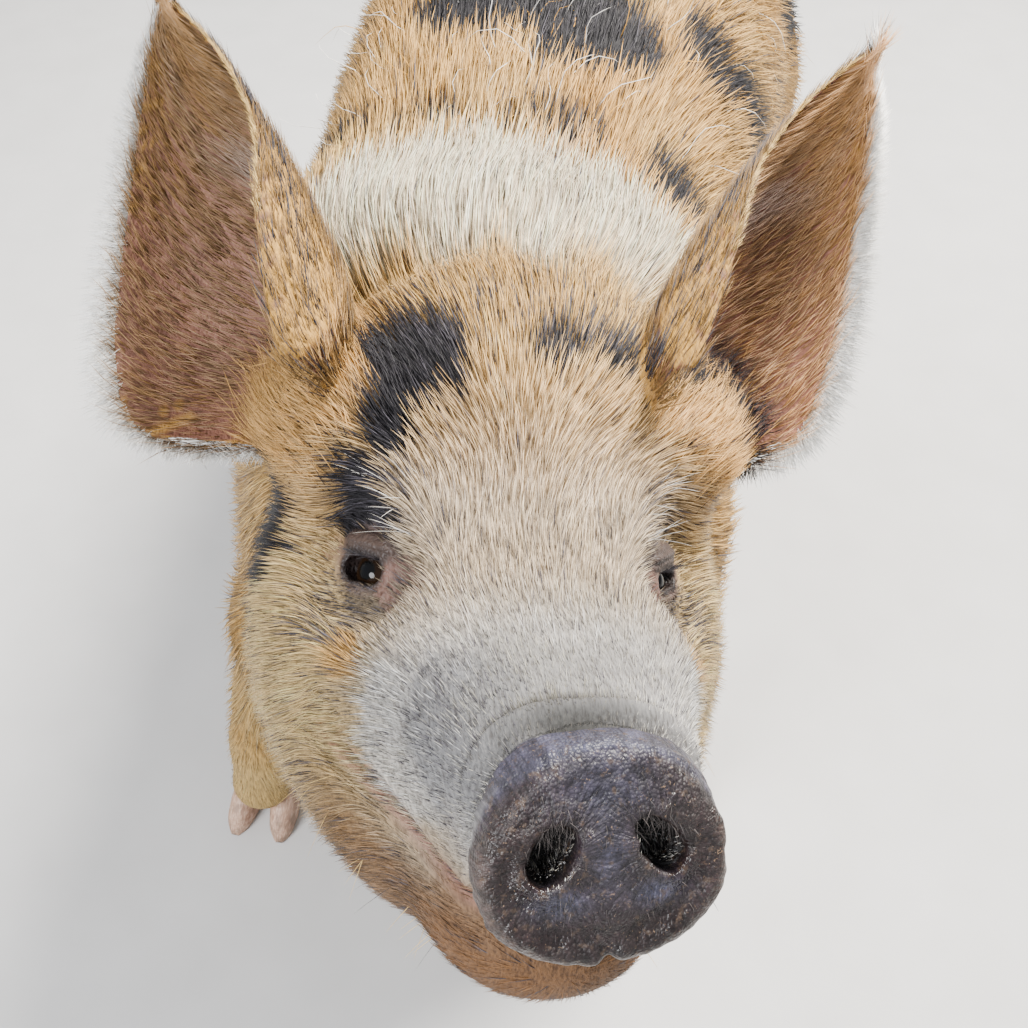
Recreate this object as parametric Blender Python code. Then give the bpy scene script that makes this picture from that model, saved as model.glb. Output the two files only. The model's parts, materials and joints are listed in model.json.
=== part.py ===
"""A life-size still model of a spotted domestic pig, standing with its head raised.

Metres, +Z up, the nose towards -Y and the pig's left side at +X. The flesh is one smooth field of
named body parts, meshed whole and then parted with thin cuts, so that the nodes meet face to face.
"""

import math

import bmesh
import bpy
import numpy as np
from mathutils import Euler, Matrix, Vector

# Driving sizes
BACK_HEIGHT = 0.636
BELLY_HEIGHT = 0.178
BARREL_HALF_WIDTH = 0.200
CUT_GAP = 0.0003
# Share of the coat's depth that the solid under the locks is sunk by
CORE_SHARE = 0.6
# Moves the finished model so that the middle of its bounding box stands on the origin
MIDDLE_SHIFT = (0.0, 0.1546, 0.0)

# The head's own frame starts midway between the eyes and looks along -y to the middle of the nose disc.
EYES_MIDDLE = (0.061, -0.560, 0.544)
HEAD_TURN = math.radians(20.5)
HEAD_LIFT = math.radians(17.0)
HEAD_TILT = math.radians(12.7)
EYE_PLACE = (0.0660, 0.0050, -0.0060)
EYE_LOOK = (0.70, -0.48, 0.52)
EYE_SLIT = (-0.35, -1.0, -0.30)
EYE_RADIUS = 0.0122
LID_RADIUS = 0.0150
SLIT_AHEAD = 0.0140
SLIT_RADII = (0.0135, 0.0120, 0.0070)
NOSE_MIDDLE = (0, -0.172, -0.004)
NOSE_LIFT = math.radians(26.0)
NOSE_ROLL = math.radians(-6.5)
NOSE_TAPER = 0.10
NOSE_HALF_WIDTH = 0.0480
NOSE_HALF_HEIGHT = 0.0415
NOSE_HALF_DEPTH = 0.0100
NOSTRIL_SPREAD = 0.0200
NOSTRIL_HEIGHT = 0.0045
NOSTRIL_RADII = (0.0080, 0.0150, 0.0118)
NOSTRIL_LEAN = math.radians(30)
MOUTH_CORNER_Y = -0.040
MOUTH_FRONT = (-0.185, -0.0455)
MOUTH_TILT = math.radians(4.5)

HEAD_FRAME = Matrix.Translation(EYES_MIDDLE) @ (
    Matrix.Rotation(HEAD_TURN, 4, "Z")
    @ Matrix.Rotation(-HEAD_LIFT, 4, "X")
    @ Matrix.Rotation(HEAD_TILT, 4, "Y")
)


def smooth_curve(at, places, values):
    """A smooth curve through the values at the places, read at every point of at."""
    places = np.asarray(places, float)
    values = np.asarray(values, float)
    slopes = np.gradient(values, places)
    at = np.clip(at, places[0], places[-1])
    left = np.clip(np.searchsorted(places, at) - 1, 0, len(places) - 2)
    span = places[left + 1] - places[left]
    t = (at - places[left]) / span
    rise = values[left] * (1 + 2 * t) * (1 - t) ** 2 + values[left + 1] * t * t * (3 - 2 * t)
    lean = span * (slopes[left] * t * (1 - t) ** 2 - slopes[left + 1] * t * t * (1 - t))
    return rise + lean


def blend(first, second, width):
    """Joins two fields with a fillet about as wide as width."""
    share = np.clip(0.5 + 0.5 * (second - first) / width, 0, 1)
    return second * (1 - share) + first * share - width * share * (1 - share)


def carve(body, tool, width):
    """Takes the tool out of the body with a rounded lip."""
    return -blend(-body, tool, width)


def rise(value, low, high):
    """0 below low, 1 above high and smooth between."""
    t = np.clip((value - low) / (high - low), 0, 1)
    return t * t * (3 - 2 * t)


def ball(points, centre, radii, turn=(0, 0, 0)):
    """An ellipsoid with these radii, turned by Euler angles in degrees or by a matrix of its axes."""
    local = points - np.asarray(centre, float)
    if np.ndim(turn) == 2:
        local = local @ turn
    elif any(turn):
        local = local @ np.array(Euler([math.radians(a) for a in turn]).to_matrix())
    radii = np.asarray(radii, float)
    outer = np.linalg.norm(local / radii, axis=1)
    slope = np.linalg.norm(local / radii**2, axis=1)
    return outer * (outer - 1) / np.maximum(slope, 1e-9)


def limb(points, start, end, start_radius, end_radius):
    """A rounded cone between two joints."""
    start = np.asarray(start, float)
    along = np.asarray(end, float) - start
    reach = along @ along
    t = np.clip((points - start) @ along / reach, 0, 1)
    away = points - start - t[:, None] * along
    return np.linalg.norm(away, axis=1) - (start_radius + t * (end_radius - start_radius))


def sweep(points, places, tops, bottoms, widths, middles, squareness):
    """A body swept along y: its top line, bottom line, half width and widest level at each place."""
    y = points[:, 1]
    level = smooth_curve(y, places, middles)
    top = smooth_curve(y, places, tops) - level
    bottom = level - smooth_curve(y, places, bottoms)
    width = smooth_curve(y, places, widths)
    rise = points[:, 2] - level
    height = np.where(rise > 0, top, bottom)
    x = points[:, 0]
    power = smooth_curve(y, places, squareness)
    scaled = ((np.abs(x / width) + 1e-9) ** power + (np.abs(rise / height) + 1e-9) ** power) ** (1 / power)
    radius = np.hypot(x, rise)
    across = radius - radius / scaled
    past = np.maximum(places[0] - y, y - places[-1])
    beyond = np.hypot(np.maximum(across, 0), np.maximum(past, 0))
    return np.where(past > 0, np.where(across > 0, beyond, past), across)


# y, top line, belly line, half width, widest level, squareness
BARREL = np.array([
    (-0.440, 0.560, 0.290, 0.112, 0.430, 2.1),
    (-0.360, 0.600, 0.250, 0.145, 0.430, 2.2),
    (-0.260, 0.622, 0.222, 0.165, 0.420, 2.2),
    (-0.140, 0.632, 0.196, 0.180, 0.408, 2.25),
    (-0.020, BACK_HEIGHT, BELLY_HEIGHT, 0.193, 0.398, 2.3),
    (0.100, 0.632, 0.176, BARREL_HALF_WIDTH, 0.395, 2.3),
    (0.200, 0.616, 0.196, 0.198, 0.400, 2.25),
    (0.290, 0.580, 0.238, 0.174, 0.405, 2.15),
    (0.350, 0.535, 0.290, 0.132, 0.405, 2.1),
])

# In the head's frame: y, top line, bottom line, half width, widest level, squareness
SKULL = np.array([
    (-0.158, 0.036, -0.072, 0.047, -0.012, 2.5),
    (-0.130, 0.034, -0.094, 0.057, -0.024, 2.5),
    (-0.100, 0.031, -0.106, 0.068, -0.036, 2.5),
    (-0.070, 0.029, -0.108, 0.083, -0.044, 2.5),
    (-0.040, 0.030, -0.118, 0.099, -0.050, 2.5),
    (-0.010, 0.038, -0.130, 0.110, -0.050, 2.5),
    (0.020, 0.060, -0.140, 0.116, -0.045, 2.4),
    (0.050, 0.088, -0.146, 0.120, -0.035, 2.2),
    (0.080, 0.110, -0.148, 0.120, -0.022, 2.1),
    (0.110, 0.120, -0.146, 0.118, -0.010, 2.1),
])


def to_head(points):
    """The points in the head's own frame."""
    frame = np.array(HEAD_FRAME.inverted())
    return points @ frame[:3, :3].T + frame[:3, 3]


def mirrored(points):
    """The points with both sides folded onto +x, for parts that come in pairs."""
    return np.column_stack([np.abs(points[:, 0]), points[:, 1:]])


def nose_axes():
    """The disc's width, the way straight into it and its height, as the columns of a matrix."""
    return Euler((-NOSE_LIFT, 0, 0)).to_matrix() @ Euler((0, NOSE_ROLL, 0)).to_matrix()


def coin(points, centre, half_width, half_height, half_depth, round_over):
    """A rounded disc along the nose's axes, narrower towards the top."""
    local = (points - np.asarray(centre, float)) @ np.array(nose_axes())
    narrower = 1 + NOSE_TAPER * local[:, 2] / half_height
    oval = np.hypot(local[:, 0] * narrower / half_width, local[:, 2] / half_height)
    radial = (oval - 1) * half_height + round_over
    axial = np.abs(local[:, 1]) - half_depth + round_over
    outside = np.hypot(np.maximum(radial, 0), np.maximum(axial, 0))
    return outside + np.minimum(np.maximum(radial, axial), 0) - round_over


def eye_axes():
    """The slit's direction, the way the eye looks and the third axis, as the columns of a matrix."""
    look = np.array(EYE_LOOK) / np.linalg.norm(EYE_LOOK)
    slit = np.array(EYE_SLIT) - look * (np.array(EYE_SLIT) @ look)
    slit /= np.linalg.norm(slit)
    return np.column_stack([slit, look, np.cross(slit, look)])


def eye_fields(local, head):
    """The hollow round each eye and the lids over it."""
    folded = mirrored(local)
    place = np.array(EYE_PLACE)
    axes = eye_axes()
    look = axes[:, 1]
    head = carve(head, ball(folded, place + 0.021 * look, (0.024, 0.012, 0.017), axes), 0.028)
    lids = ball(folded, place, (0.0195, LID_RADIUS, LID_RADIUS), axes)
    return blend(head, lids, 0.016)


def mouth_field(local, head):
    """A shallow groove along the line where the lips meet."""
    level = MOUTH_FRONT[1] - math.tan(MOUTH_TILT) * (local[:, 1] - MOUTH_FRONT[0])
    groove = np.maximum(np.abs(local[:, 2] - level) - 0.0020, local[:, 1] - MOUTH_CORNER_Y)
    groove = np.maximum(groove, -(head + 0.0025))
    return carve(head, groove, 0.006)


def disc_field(local):
    """The nose disc alone."""
    return coin(local, NOSE_MIDDLE, NOSE_HALF_WIDTH, NOSE_HALF_HEIGHT, NOSE_HALF_DEPTH, 0.007)


def nose_field(local, head):
    """The nose disc with its upturned rim and the fold behind it."""
    disc = disc_field(local)
    fold = ball(local, (0, -0.136, 0.046), (0.036, 0.005, 0.012), (-26, 0, 0))
    behind = (0, NOSE_MIDDLE[1] + 0.022, NOSE_MIDDLE[2] - 0.008)
    core = coin(local, behind, NOSE_HALF_WIDTH - 0.006, NOSE_HALF_HEIGHT - 0.005, 0.020, 0.010)
    head = carve(blend(head, core, 0.012), fold, 0.010)
    return blend(head, disc, 0.008)


def nostril_place(side):
    """The middle of a nostril's mouth on the face of the disc, and the axes of its pocket."""
    across = side * NOSTRIL_SPREAD
    spot = Vector(NOSE_MIDDLE) + nose_axes() @ Vector((across, -NOSE_HALF_DEPTH, NOSTRIL_HEIGHT))
    return spot, nose_axes() @ Euler((0, -side * NOSTRIL_LEAN, 0)).to_matrix()


def head_field(points):
    """The head, without its ears."""
    local = to_head(points)
    folded = mirrored(local)
    head = sweep(local, *SKULL.T)
    jowl = ball(folded, (0.054, -0.015, -0.092), (0.060, 0.110, 0.054), (0, 0, -16))
    head = blend(head, jowl, 0.04)
    cheek = ball(folded, (0.066, 0.045, -0.055), (0.064, 0.075, 0.075))
    head = blend(head, cheek, 0.03)
    brow = ball(folded, (0.052, 0.014, 0.020), (0.026, 0.034, 0.022))
    head = blend(head, brow, 0.025)
    poll = ball(local, (0, 0.090, 0.055), (0.095, 0.065, 0.068))
    head = blend(head, poll, 0.04)
    chin = ball(local, (0, -0.130, -0.081), (0.053, 0.046, 0.036))
    head = blend(head, chin, 0.02)
    head = nose_field(local, head)
    head = mouth_field(local, head)
    return eye_fields(local, head)


def torso_field(points):
    """The barrel with the shoulders, chest and rump."""
    barrel = sweep(points, *BARREL.T)
    folded = mirrored(points)
    rump = ball(folded, (0.052, 0.255, 0.400), (0.132, 0.150, 0.178), (16, 0, 0))
    barrel = blend(barrel, rump, 0.07)
    shoulder = ball(folded, (0.088, -0.345, 0.400), (0.078, 0.125, 0.185), (-10, 0, 0))
    barrel = blend(barrel, shoulder, 0.06)
    chest = ball(points, (0, -0.430, 0.370), (0.125, 0.098, 0.120))
    return blend(barrel, chest, 0.07)


def neck_field(points):
    """The short thick neck and the roll of fat behind the poll."""
    back_of_head = HEAD_FRAME @ Vector((0, 0.120, -0.040))
    neck = limb(points, (0, -0.320, 0.440), back_of_head, 0.145, 0.106)
    nape = ball(points, (0.012, -0.370, 0.525), (0.122, 0.085, 0.118))
    return blend(neck, nape, 0.035)


# x, y, z and radius of each joint from the shoulder or hip down to the foot
FORE_JOINTS = [
    (0.098, -0.360, 0.340, 0.090), (0.128, -0.398, 0.235, 0.066), (0.142, -0.412, 0.155, 0.0450),
    (0.150, -0.420, 0.100, 0.0345), (0.158, -0.436, 0.044, 0.0300),
]
HIND_JOINTS = [
    (0.100, 0.235, 0.350, 0.122), (0.126, 0.185, 0.245, 0.092), (0.134, 0.290, 0.165, 0.0470),
    (0.138, 0.286, 0.100, 0.0350), (0.142, 0.264, 0.044, 0.0305),
]
# Joints, side, and how far the foot has stepped outwards and backwards
LEGS = {
    "foreleg_left": (FORE_JOINTS, 1, 0.000, 0.012),
    "foreleg_right": (FORE_JOINTS, -1, 0.031, -0.018),
    "hindleg_left": (HIND_JOINTS, 1, 0.000, -0.022),
    "hindleg_right": (HIND_JOINTS, -1, 0.004, 0.026),
}


def leg_joints(name):
    """Where the joints of one leg are, the lower ones moved by its step."""
    joints, side, outward, back = LEGS[name]
    share = [0.0, 0.25, 0.6, 0.85, 1.0]
    return [(side * (x + s * outward), y + s * back, z, r) for (x, y, z, r), s in zip(joints, share)]


def legs_field(points):
    """All four legs as rounded cones from joint to joint."""
    legs = None
    for name in LEGS:
        joints = leg_joints(name)
        leg = None
        for upper, lower in zip(joints, joints[1:]):
            bone = limb(points, upper[:3], lower[:3], upper[3], lower[3])
            leg = bone if leg is None else blend(leg, bone, 0.030)
        legs = leg if legs is None else np.minimum(legs, leg)
    return legs


def body_field(points):
    """All the flesh but the ears and tail."""
    body = blend(torso_field(points), legs_field(points), 0.05)
    body = blend(body, neck_field(points), 0.05)
    return blend(body, head_field(points), 0.03)


def coat_depth(points):
    """How far the tips of the coat lie above the skin: least on the nose, the lids and the feet."""
    local = to_head(points)
    across = np.abs(local[:, 0])
    low_cheek = rise(across, 0.045, 0.100) * rise(-local[:, 2], -0.030, 0.040)
    face = 0.0035 + 0.0045 * rise(local[:, 1], -0.120, 0.030) + 0.0040 * low_cheek
    to_eye = np.linalg.norm(mirrored(local) - np.array(EYE_PLACE), axis=1)
    face = 0.0010 + (face - 0.0010) * rise(to_eye, 0.017, 0.036)
    face *= rise(disc_field(local), 0.0005, 0.0100)
    body = 0.0035 + 0.0085 * rise(points[:, 2], 0.060, 0.240)
    past = rise(local[:, 1], 0.050, 0.120)
    return face * (1 - past) + body * past


def core_field(points):
    """The solid under the locks, sunk by a share of the coat's depth."""
    return body_field(points) + CORE_SHARE * coat_depth(points)


def lie_of(points):
    """The way the coat lies at each point, before it is laid along the skin."""
    local = to_head(points)
    across = np.abs(local[:, 0])
    low_cheek = rise(across, 0.040, 0.100) * rise(-local[:, 2], -0.030, 0.050)
    face = np.column_stack([3.0 * local[:, 0], np.ones(len(points)), -0.15 - 0.9 * low_cheek])
    face = face @ np.array(HEAD_FRAME)[:3, :3].T
    side = rise(np.abs(points[:, 0]), 0.060, 0.180)
    body = np.column_stack([np.zeros(len(points)), np.ones(len(points)), -0.75 * side])
    down = np.array([0.0, 0.25, -1.0])
    leg = rise(-points[:, 2], -0.300, -0.180)[:, None]
    chest = (rise(-points[:, 1], 0.360, 0.460) * rise(-points[:, 2], -0.560, -0.430))[:, None]
    body = body * (1 - leg) + down * leg
    body = body * (1 - 0.8 * chest) + down * 0.8 * chest
    past = rise(local[:, 1], 0.080, 0.160)[:, None]
    return face * (1 - past) + body * past


def laid_along(directions, normals):
    """The directions made to run along the skin."""
    flat = directions - normals * (directions * normals).sum(1, keepdims=True)
    return flat / np.maximum(np.linalg.norm(flat, axis=1, keepdims=True), 1e-9)


def surface_net(field, low, high, step):
    """Points and quads of the surface where the field is zero, one point for each crossed cell."""
    low = np.asarray(low, float)
    counts = np.ceil((np.asarray(high, float) - low) / step).astype(int) + 1
    grid = np.stack(np.meshgrid(*[low[k] + step * np.arange(counts[k]) for k in range(3)], indexing="ij"), -1)
    value = field(grid.reshape(-1, 3)).reshape(counts)
    inside = value < 0
    total = np.zeros((*counts, 3))
    number = np.zeros(counts, int)
    crossings = []
    for axis in range(3):
        others = [k for k in range(3) if k != axis]
        here = [slice(0, -1) if k == axis else slice(1, -1) for k in range(3)]
        there = [slice(1, None) if k == axis else slice(1, -1) for k in range(3)]
        crossed = inside[tuple(here)] != inside[tuple(there)]
        index = np.argwhere(crossed) + np.array([0 if k == axis else 1 for k in range(3)])
        ahead = index + np.eye(3, dtype=int)[axis]
        first = value[tuple(index.T)]
        second = value[tuple(ahead.T)]
        share = (first / (first - second))[:, None]
        spot = low + step * (index + share * np.eye(3)[axis])
        cells = []
        for u, v in ((0, 0), (1, 0), (1, 1), (0, 1)):
            cell = index.copy()
            cell[:, others[0]] -= u
            cell[:, others[1]] -= v
            cells.append(cell)
            np.add.at(total, tuple(cell.T), spot)
            np.add.at(number, tuple(cell.T), 1)
        crossings.append((axis, inside[tuple(index.T)], cells))
    used = number > 0
    name = np.full(counts, -1)
    name[used] = np.arange(used.sum())
    points = total[used] / number[used][:, None]
    quads = []
    for axis, starts_inside, cells in crossings:
        quad = np.column_stack([name[tuple(cell.T)] for cell in cells])
        turned = starts_inside if axis != 1 else ~starts_inside
        quads.append(np.where(turned[:, None], quad, quad[:, ::-1]))
    return points, np.vstack(quads)


def slope_of(field, points, reach=0.0006):
    """The field's gradient at each point."""
    return np.column_stack([
        (field(points + step) - field(points - step)) / (2 * reach) for step in reach * np.eye(3)
    ])


def settle(field, points, rounds=3, level=0.0):
    """Moves the points onto the surface of the field."""
    for _ in range(rounds):
        slope = slope_of(field, points)
        steepness = np.maximum((slope**2).sum(1), 0.05)
        move = ((field(points) - level) / steepness)[:, None] * slope
        length = np.linalg.norm(move, axis=1, keepdims=True)
        points = points - move * np.minimum(1, 0.012 / np.maximum(length, 1e-9))
    return points


# Share of the length, reach of the outer margin, its half angle, reach of the inner margin, its half angle
EAR_SHAPE = np.array([
    (0.00, 0.030, 60, 0.020, 90), (0.07, 0.058, 74, 0.034, 120), (0.16, 0.076, 74, 0.044, 136),
    (0.32, 0.081, 66, 0.046, 137), (0.50, 0.072, 54, 0.041, 125), (0.68, 0.053, 44, 0.033, 95),
    (0.84, 0.031, 37, 0.021, 65), (0.95, 0.012, 30, 0.009, 45), (1.00, 0.0035, 30, 0.003, 40),
])
EAR_THICKNESS = 0.0065
# How far the pale fringe stands out past the margin
EAR_FRINGE = 0.003
# Root in the head's frame, tip in the part's frame, the way the cup faces, its outer side and its breadth there
EARS = {
    "ear_right": ((-0.088, 0.086, 0.030), (-0.141, -0.388, 0.728), (-0.19, -0.79, 0.50), -1, 1.0),
    "ear_left": ((0.088, 0.086, 0.030), (0.200, -0.320, 0.696), (0.30, -0.80, 0.45), 1, 0.70),
}


def ear_points(root, tip, faces, outward, breadth, fringe, along_count, across_count):
    """The cupped sheet of one ear: a grid of points on its back and one on its inner face."""
    root = np.array(HEAD_FRAME @ Vector(root))
    tip = np.asarray(tip, float)
    length = np.linalg.norm(tip - root)
    up = (tip - root) / length
    front = np.asarray(faces, float)
    front = front - up * (front @ up)
    front /= np.linalg.norm(front)
    side = np.cross(front, up)
    side = side if side[0] * outward > 0 else -side
    t = np.linspace(0, 1, along_count) ** 0.9
    s = np.linspace(-1, 1, across_count)
    shapes = [smooth_curve(t, EAR_SHAPE[:, 0], EAR_SHAPE[:, k]) for k in range(1, 5)]
    outer, outer_angle, inner, inner_angle = shapes
    outer_radius = breadth * outer / np.sin(np.radians(outer_angle))
    inner_radius = inner / np.sin(np.radians(np.minimum(inner_angle, 90)))
    outer_angle = outer_angle + np.degrees(fringe / outer_radius) * np.minimum(1, t / 0.2)
    angle = np.where(s[None, :] > 0, outer_angle[:, None], inner_angle[:, None]) * s[None, :]
    radius = np.where(s[None, :] > 0, outer_radius[:, None], inner_radius[:, None])
    bend_back = -0.016 * np.sin(math.pi * t)
    thick = EAR_THICKNESS * (1 - 0.6 * s[None, :] ** 2) * (1 - 0.55 * t[:, None])
    sheets = []
    for half in (-0.5, 0.5):
        x = (radius - half * thick) * np.sin(np.radians(angle))
        y = radius - (radius - half * thick) * np.cos(np.radians(angle)) + bend_back[:, None]
        sheets.append(root + (t * length)[:, None, None] * up + x[..., None] * side + y[..., None] * front)
    return sheets


def mesh_object(name, points, faces):
    """A mesh object in the scene made of these points and faces, its faces turned outwards."""
    mesh = bpy.data.meshes.new(name)
    mesh.from_pydata([tuple(p) for p in points], [], [tuple(f) for f in faces])
    shell = bmesh.new()
    shell.from_mesh(mesh)
    bmesh.ops.recalc_face_normals(shell, faces=shell.faces)
    bmesh.ops.triangulate(shell, faces=shell.faces)
    shell.to_mesh(mesh)
    shell.free()
    made = bpy.data.objects.new(name, mesh)
    PIG.objects.link(made)
    return made


def grid_faces(rows, columns, first, closed=False):
    """Quads of a grid of points that starts at index first."""
    faces = []
    for i in range(rows - 1):
        for j in range(columns if closed else columns - 1):
            a = first + i * columns + j
            b = first + i * columns + (j + 1) % columns
            faces.append((a, b, b + columns, a + columns))
    return faces


def ear_sheet(name, rows=13, columns=11):
    """One ear as a closed sheet, its root still inside the head."""
    sheets = ear_points(*EARS[name], EAR_FRINGE, rows, columns)
    points = np.vstack([sheet.reshape(-1, 3) for sheet in sheets])
    half = rows * columns
    quads = grid_faces(rows, columns, 0) + grid_faces(rows, columns, half)
    rim = [i * columns for i in range(rows)]
    rim += [(rows - 1) * columns + j for j in range(1, columns)]
    rim += [i * columns + columns - 1 for i in range(rows - 2, -1, -1)]
    rim += [j for j in range(columns - 2, 0, -1)]
    for a, b in zip(rim, rim[1:] + rim[:1]):
        quads.append((a, b, half + b, half + a))
    return mesh_object(name, points, quads)


def ear_locks(name):
    """The pale fringe along the outer margin of an ear and round its tip."""
    rows = 60
    edge = [sheet[:, -1] for sheet in ear_points(*EARS[name], 0.0, rows, 13)]
    past = [sheet[:, -1] for sheet in ear_points(*EARS[name], 0.010, rows, 13)]
    inner = [sheet[:, 0] for sheet in ear_points(*EARS[name], 0.0, rows, 13)]
    before = [sheet[:, 1] for sheet in ear_points(*EARS[name], 0.0, rows, 13)]
    made = []
    for margin, further, picks in (
        (sum(edge) / 2, sum(past) / 2 - sum(edge) / 2, range(7, rows - 3, 4)),
        (sum(inner) / 2, sum(inner) / 2 - sum(before) / 2, range(26, rows - 4, 6)),
    ):
        up = np.gradient(margin, axis=0)
        up /= np.linalg.norm(up, axis=1, keepdims=True)
        out = further / np.maximum(np.linalg.norm(further, axis=1, keepdims=True), 1e-9)
        for k in picks:
            heading = out[k] * 0.86 + up[k] * 0.52
            heading /= np.linalg.norm(heading)
            face = np.cross(up[k], out[k])
            face /= np.linalg.norm(face)
            spots = [margin[k] + heading * reach for reach in (-0.009, 0.001, 0.010, 0.019)]
            made.append(lock_object(spots, np.array([face] * 4), 0.019, 0.0030))
    return made


def rings_object(name, rings):
    """A closed body through rings of points, capped flat at both ends."""
    sides = len(rings[0])
    faces = grid_faces(len(rings), sides, 0, closed=True)
    last = sides * (len(rings) - 1)
    faces.append(tuple(range(sides)))
    faces.append(tuple(last + j for j in range(sides)))
    return mesh_object(name, np.vstack(rings), faces)


def tube_rings(axis, radii, sides):
    """Rings of points round a curved axis."""
    axis = np.asarray(axis, float)
    along = np.gradient(axis, axis=0)
    along /= np.linalg.norm(along, axis=1, keepdims=True)
    rings = []
    across = np.cross(along[0], (1.0, 0.0, 0.0))
    for spot, heading, radius in zip(axis, along, radii):
        across = across - heading * (across @ heading)
        across /= np.linalg.norm(across)
        third = np.cross(heading, across)
        turn = 2 * math.pi * np.arange(sides)[:, None] / sides
        rings.append(spot + radius * (np.cos(turn) * across + np.sin(turn) * third))
    return rings


# Share of the length from the heel, of the width and of the height
CLAW_STATIONS = (
    (0.0, 0.70, 0.80), (0.30, 1.0, 1.0), (0.62, 0.94, 0.82), (0.88, 0.66, 0.50), (1.0, 0.34, 0.22),
)
# Shares of the half width and of the height round a claw, from one edge of its sole to the other
CLAW_OUTLINE = (
    (-0.86, 0.0), (-1.0, 0.35), (-0.70, 0.82), (0.0, 1.0), (0.70, 0.82), (1.0, 0.35), (0.86, 0.0),
)


def claw_rings(centre, heading, length, half_width, height, sole):
    """Rings from the heel of a claw to its tip, each flat underneath."""
    heading = np.array([math.sin(heading), -math.cos(heading), 0.0])
    across = np.array([-heading[1], heading[0], 0.0])
    rings = []
    for share, wide, tall in CLAW_STATIONS:
        middle = np.asarray(centre, float) + heading * length * share
        ring = []
        for side, up in CLAW_OUTLINE:
            level = np.array([0, 0, sole + height * tall * up])
            ring.append(middle + across * half_width * wide * side + level)
        rings.append(ring)
    return rings


def apply_modifiers(made):
    """Replaces the object's mesh by what its modifiers make of it."""
    bpy.context.view_layer.update()
    result = bpy.data.meshes.new_from_object(made.evaluated_get(bpy.context.evaluated_depsgraph_get()))
    made.modifiers.clear()
    made.data = result


def combine(made, tool, operation):
    """Adds, cuts away or keeps only what the tool covers."""
    step = made.modifiers.new(operation, "BOOLEAN")
    step.operation = operation
    step.solver = "MANIFOLD"
    step.object = tool
    apply_modifiers(made)


def keep_largest(made):
    """Removes every closed surface of the object but the largest."""
    shell = bmesh.new()
    shell.from_mesh(made.data)
    left = set(shell.verts)
    groups = []
    while left:
        seed = left.pop()
        group = {seed}
        edge_of_group = [seed]
        while edge_of_group:
            vertex = edge_of_group.pop()
            for edge in vertex.link_edges:
                other = edge.other_vert(vertex)
                if other in left:
                    left.discard(other)
                    group.add(other)
                    edge_of_group.append(other)
        groups.append(group)
    groups.sort(key=len)
    for group in groups[:-1]:
        bmesh.ops.delete(shell, geom=list(group), context="VERTS")
    shell.to_mesh(made.data)
    shell.free()


def box_tool(frame, low, high):
    """A box in the given frame, to cut with."""
    corners = [(x, y, z) for x in (low[0], high[0]) for y in (low[1], high[1]) for z in (low[2], high[2])]
    points = [frame @ Vector(corner) for corner in corners]
    faces = [(0, 1, 3, 2), (4, 6, 7, 5), (0, 4, 5, 1), (2, 3, 7, 6), (0, 2, 6, 4), (1, 5, 7, 3)]
    return mesh_object("tool", points, faces)


def ball_object(name, frame, radii, subdivisions=2):
    """An ellipsoid in the given frame."""
    shell = bmesh.new()
    bmesh.ops.create_icosphere(shell, subdivisions=subdivisions, radius=1)
    bmesh.ops.transform(shell, verts=shell.verts, matrix=frame @ Matrix.Diagonal((*radii, 1)))
    mesh = bpy.data.meshes.new(name)
    shell.to_mesh(mesh)
    shell.free()
    made = bpy.data.objects.new(name, mesh)
    PIG.objects.link(made)
    return made


def copy_of(made, name):
    """A copy of the object and its mesh."""
    twin = bpy.data.objects.new(name, made.data.copy())
    PIG.objects.link(twin)
    return twin


def part_off(made, name, frame, low, high):
    """Parts the piece inside the box from the rest, leaving a thin gap, and returns that piece."""
    piece = copy_of(made, name)
    inside = box_tool(frame, low, high)
    combine(piece, inside, "INTERSECT")
    grown_low = [value - CUT_GAP for value in low]
    grown_high = [value + CUT_GAP for value in high]
    outside = box_tool(frame, grown_low, grown_high)
    combine(made, outside, "DIFFERENCE")
    for tool in (inside, outside):
        bpy.data.objects.remove(tool)
    keep_largest(piece)
    keep_largest(made)
    return piece


def grown(made, distance):
    """A copy of the object grown outwards by distance."""
    twin = copy_of(made, "tool")
    shell = bmesh.new()
    shell.from_mesh(twin.data)
    shell.normal_update()
    for vertex, normal in [(v, v.normal.copy()) for v in shell.verts]:
        vertex.co += normal * distance
    shell.to_mesh(twin.data)
    shell.free()
    return twin


def reduce_to(made, triangles):
    """Collapses edges until about this many triangles are left."""
    made.data.calc_loop_triangles()
    step = made.modifiers.new("fewer", "DECIMATE")
    step.ratio = min(1.0, triangles / len(made.data.loop_triangles))
    apply_modifiers(made)


def lock_rings(spots, normals, width, thickness):
    """Three-sided rings of a flat lock through the spots, the last a point."""
    spots = np.asarray(spots)
    along = np.gradient(spots, axis=0)
    across = np.cross(normals, along)
    across /= np.linalg.norm(across, axis=1, keepdims=True)
    rings = []
    for spot, side, up, wide, tall in zip(spots, across, normals, LOCK_WIDTHS, LOCK_HEIGHTS):
        half = 0.5 * width * wide * side
        foot = spot - 0.35 * thickness * tall * up
        rings.append(np.array([foot - half, foot + half, spot + 0.65 * thickness * tall * up]))
    return rings


def lock_object(spots, normals, width, thickness):
    """One closed lock that ends in a point."""
    rings = lock_rings(spots, normals, width, thickness)
    points = np.vstack([*rings[:-1], rings[-1].mean(0)[None]])
    faces = grid_faces(len(rings) - 1, 3, 0, closed=True)
    last = 3 * (len(rings) - 2)
    faces += [(last, last + 1, len(points) - 1), (last + 1, last + 2, len(points) - 1)]
    faces += [(last + 2, last, len(points) - 1), (0, 1, 2)]
    return mesh_object("lock", points, faces)


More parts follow.
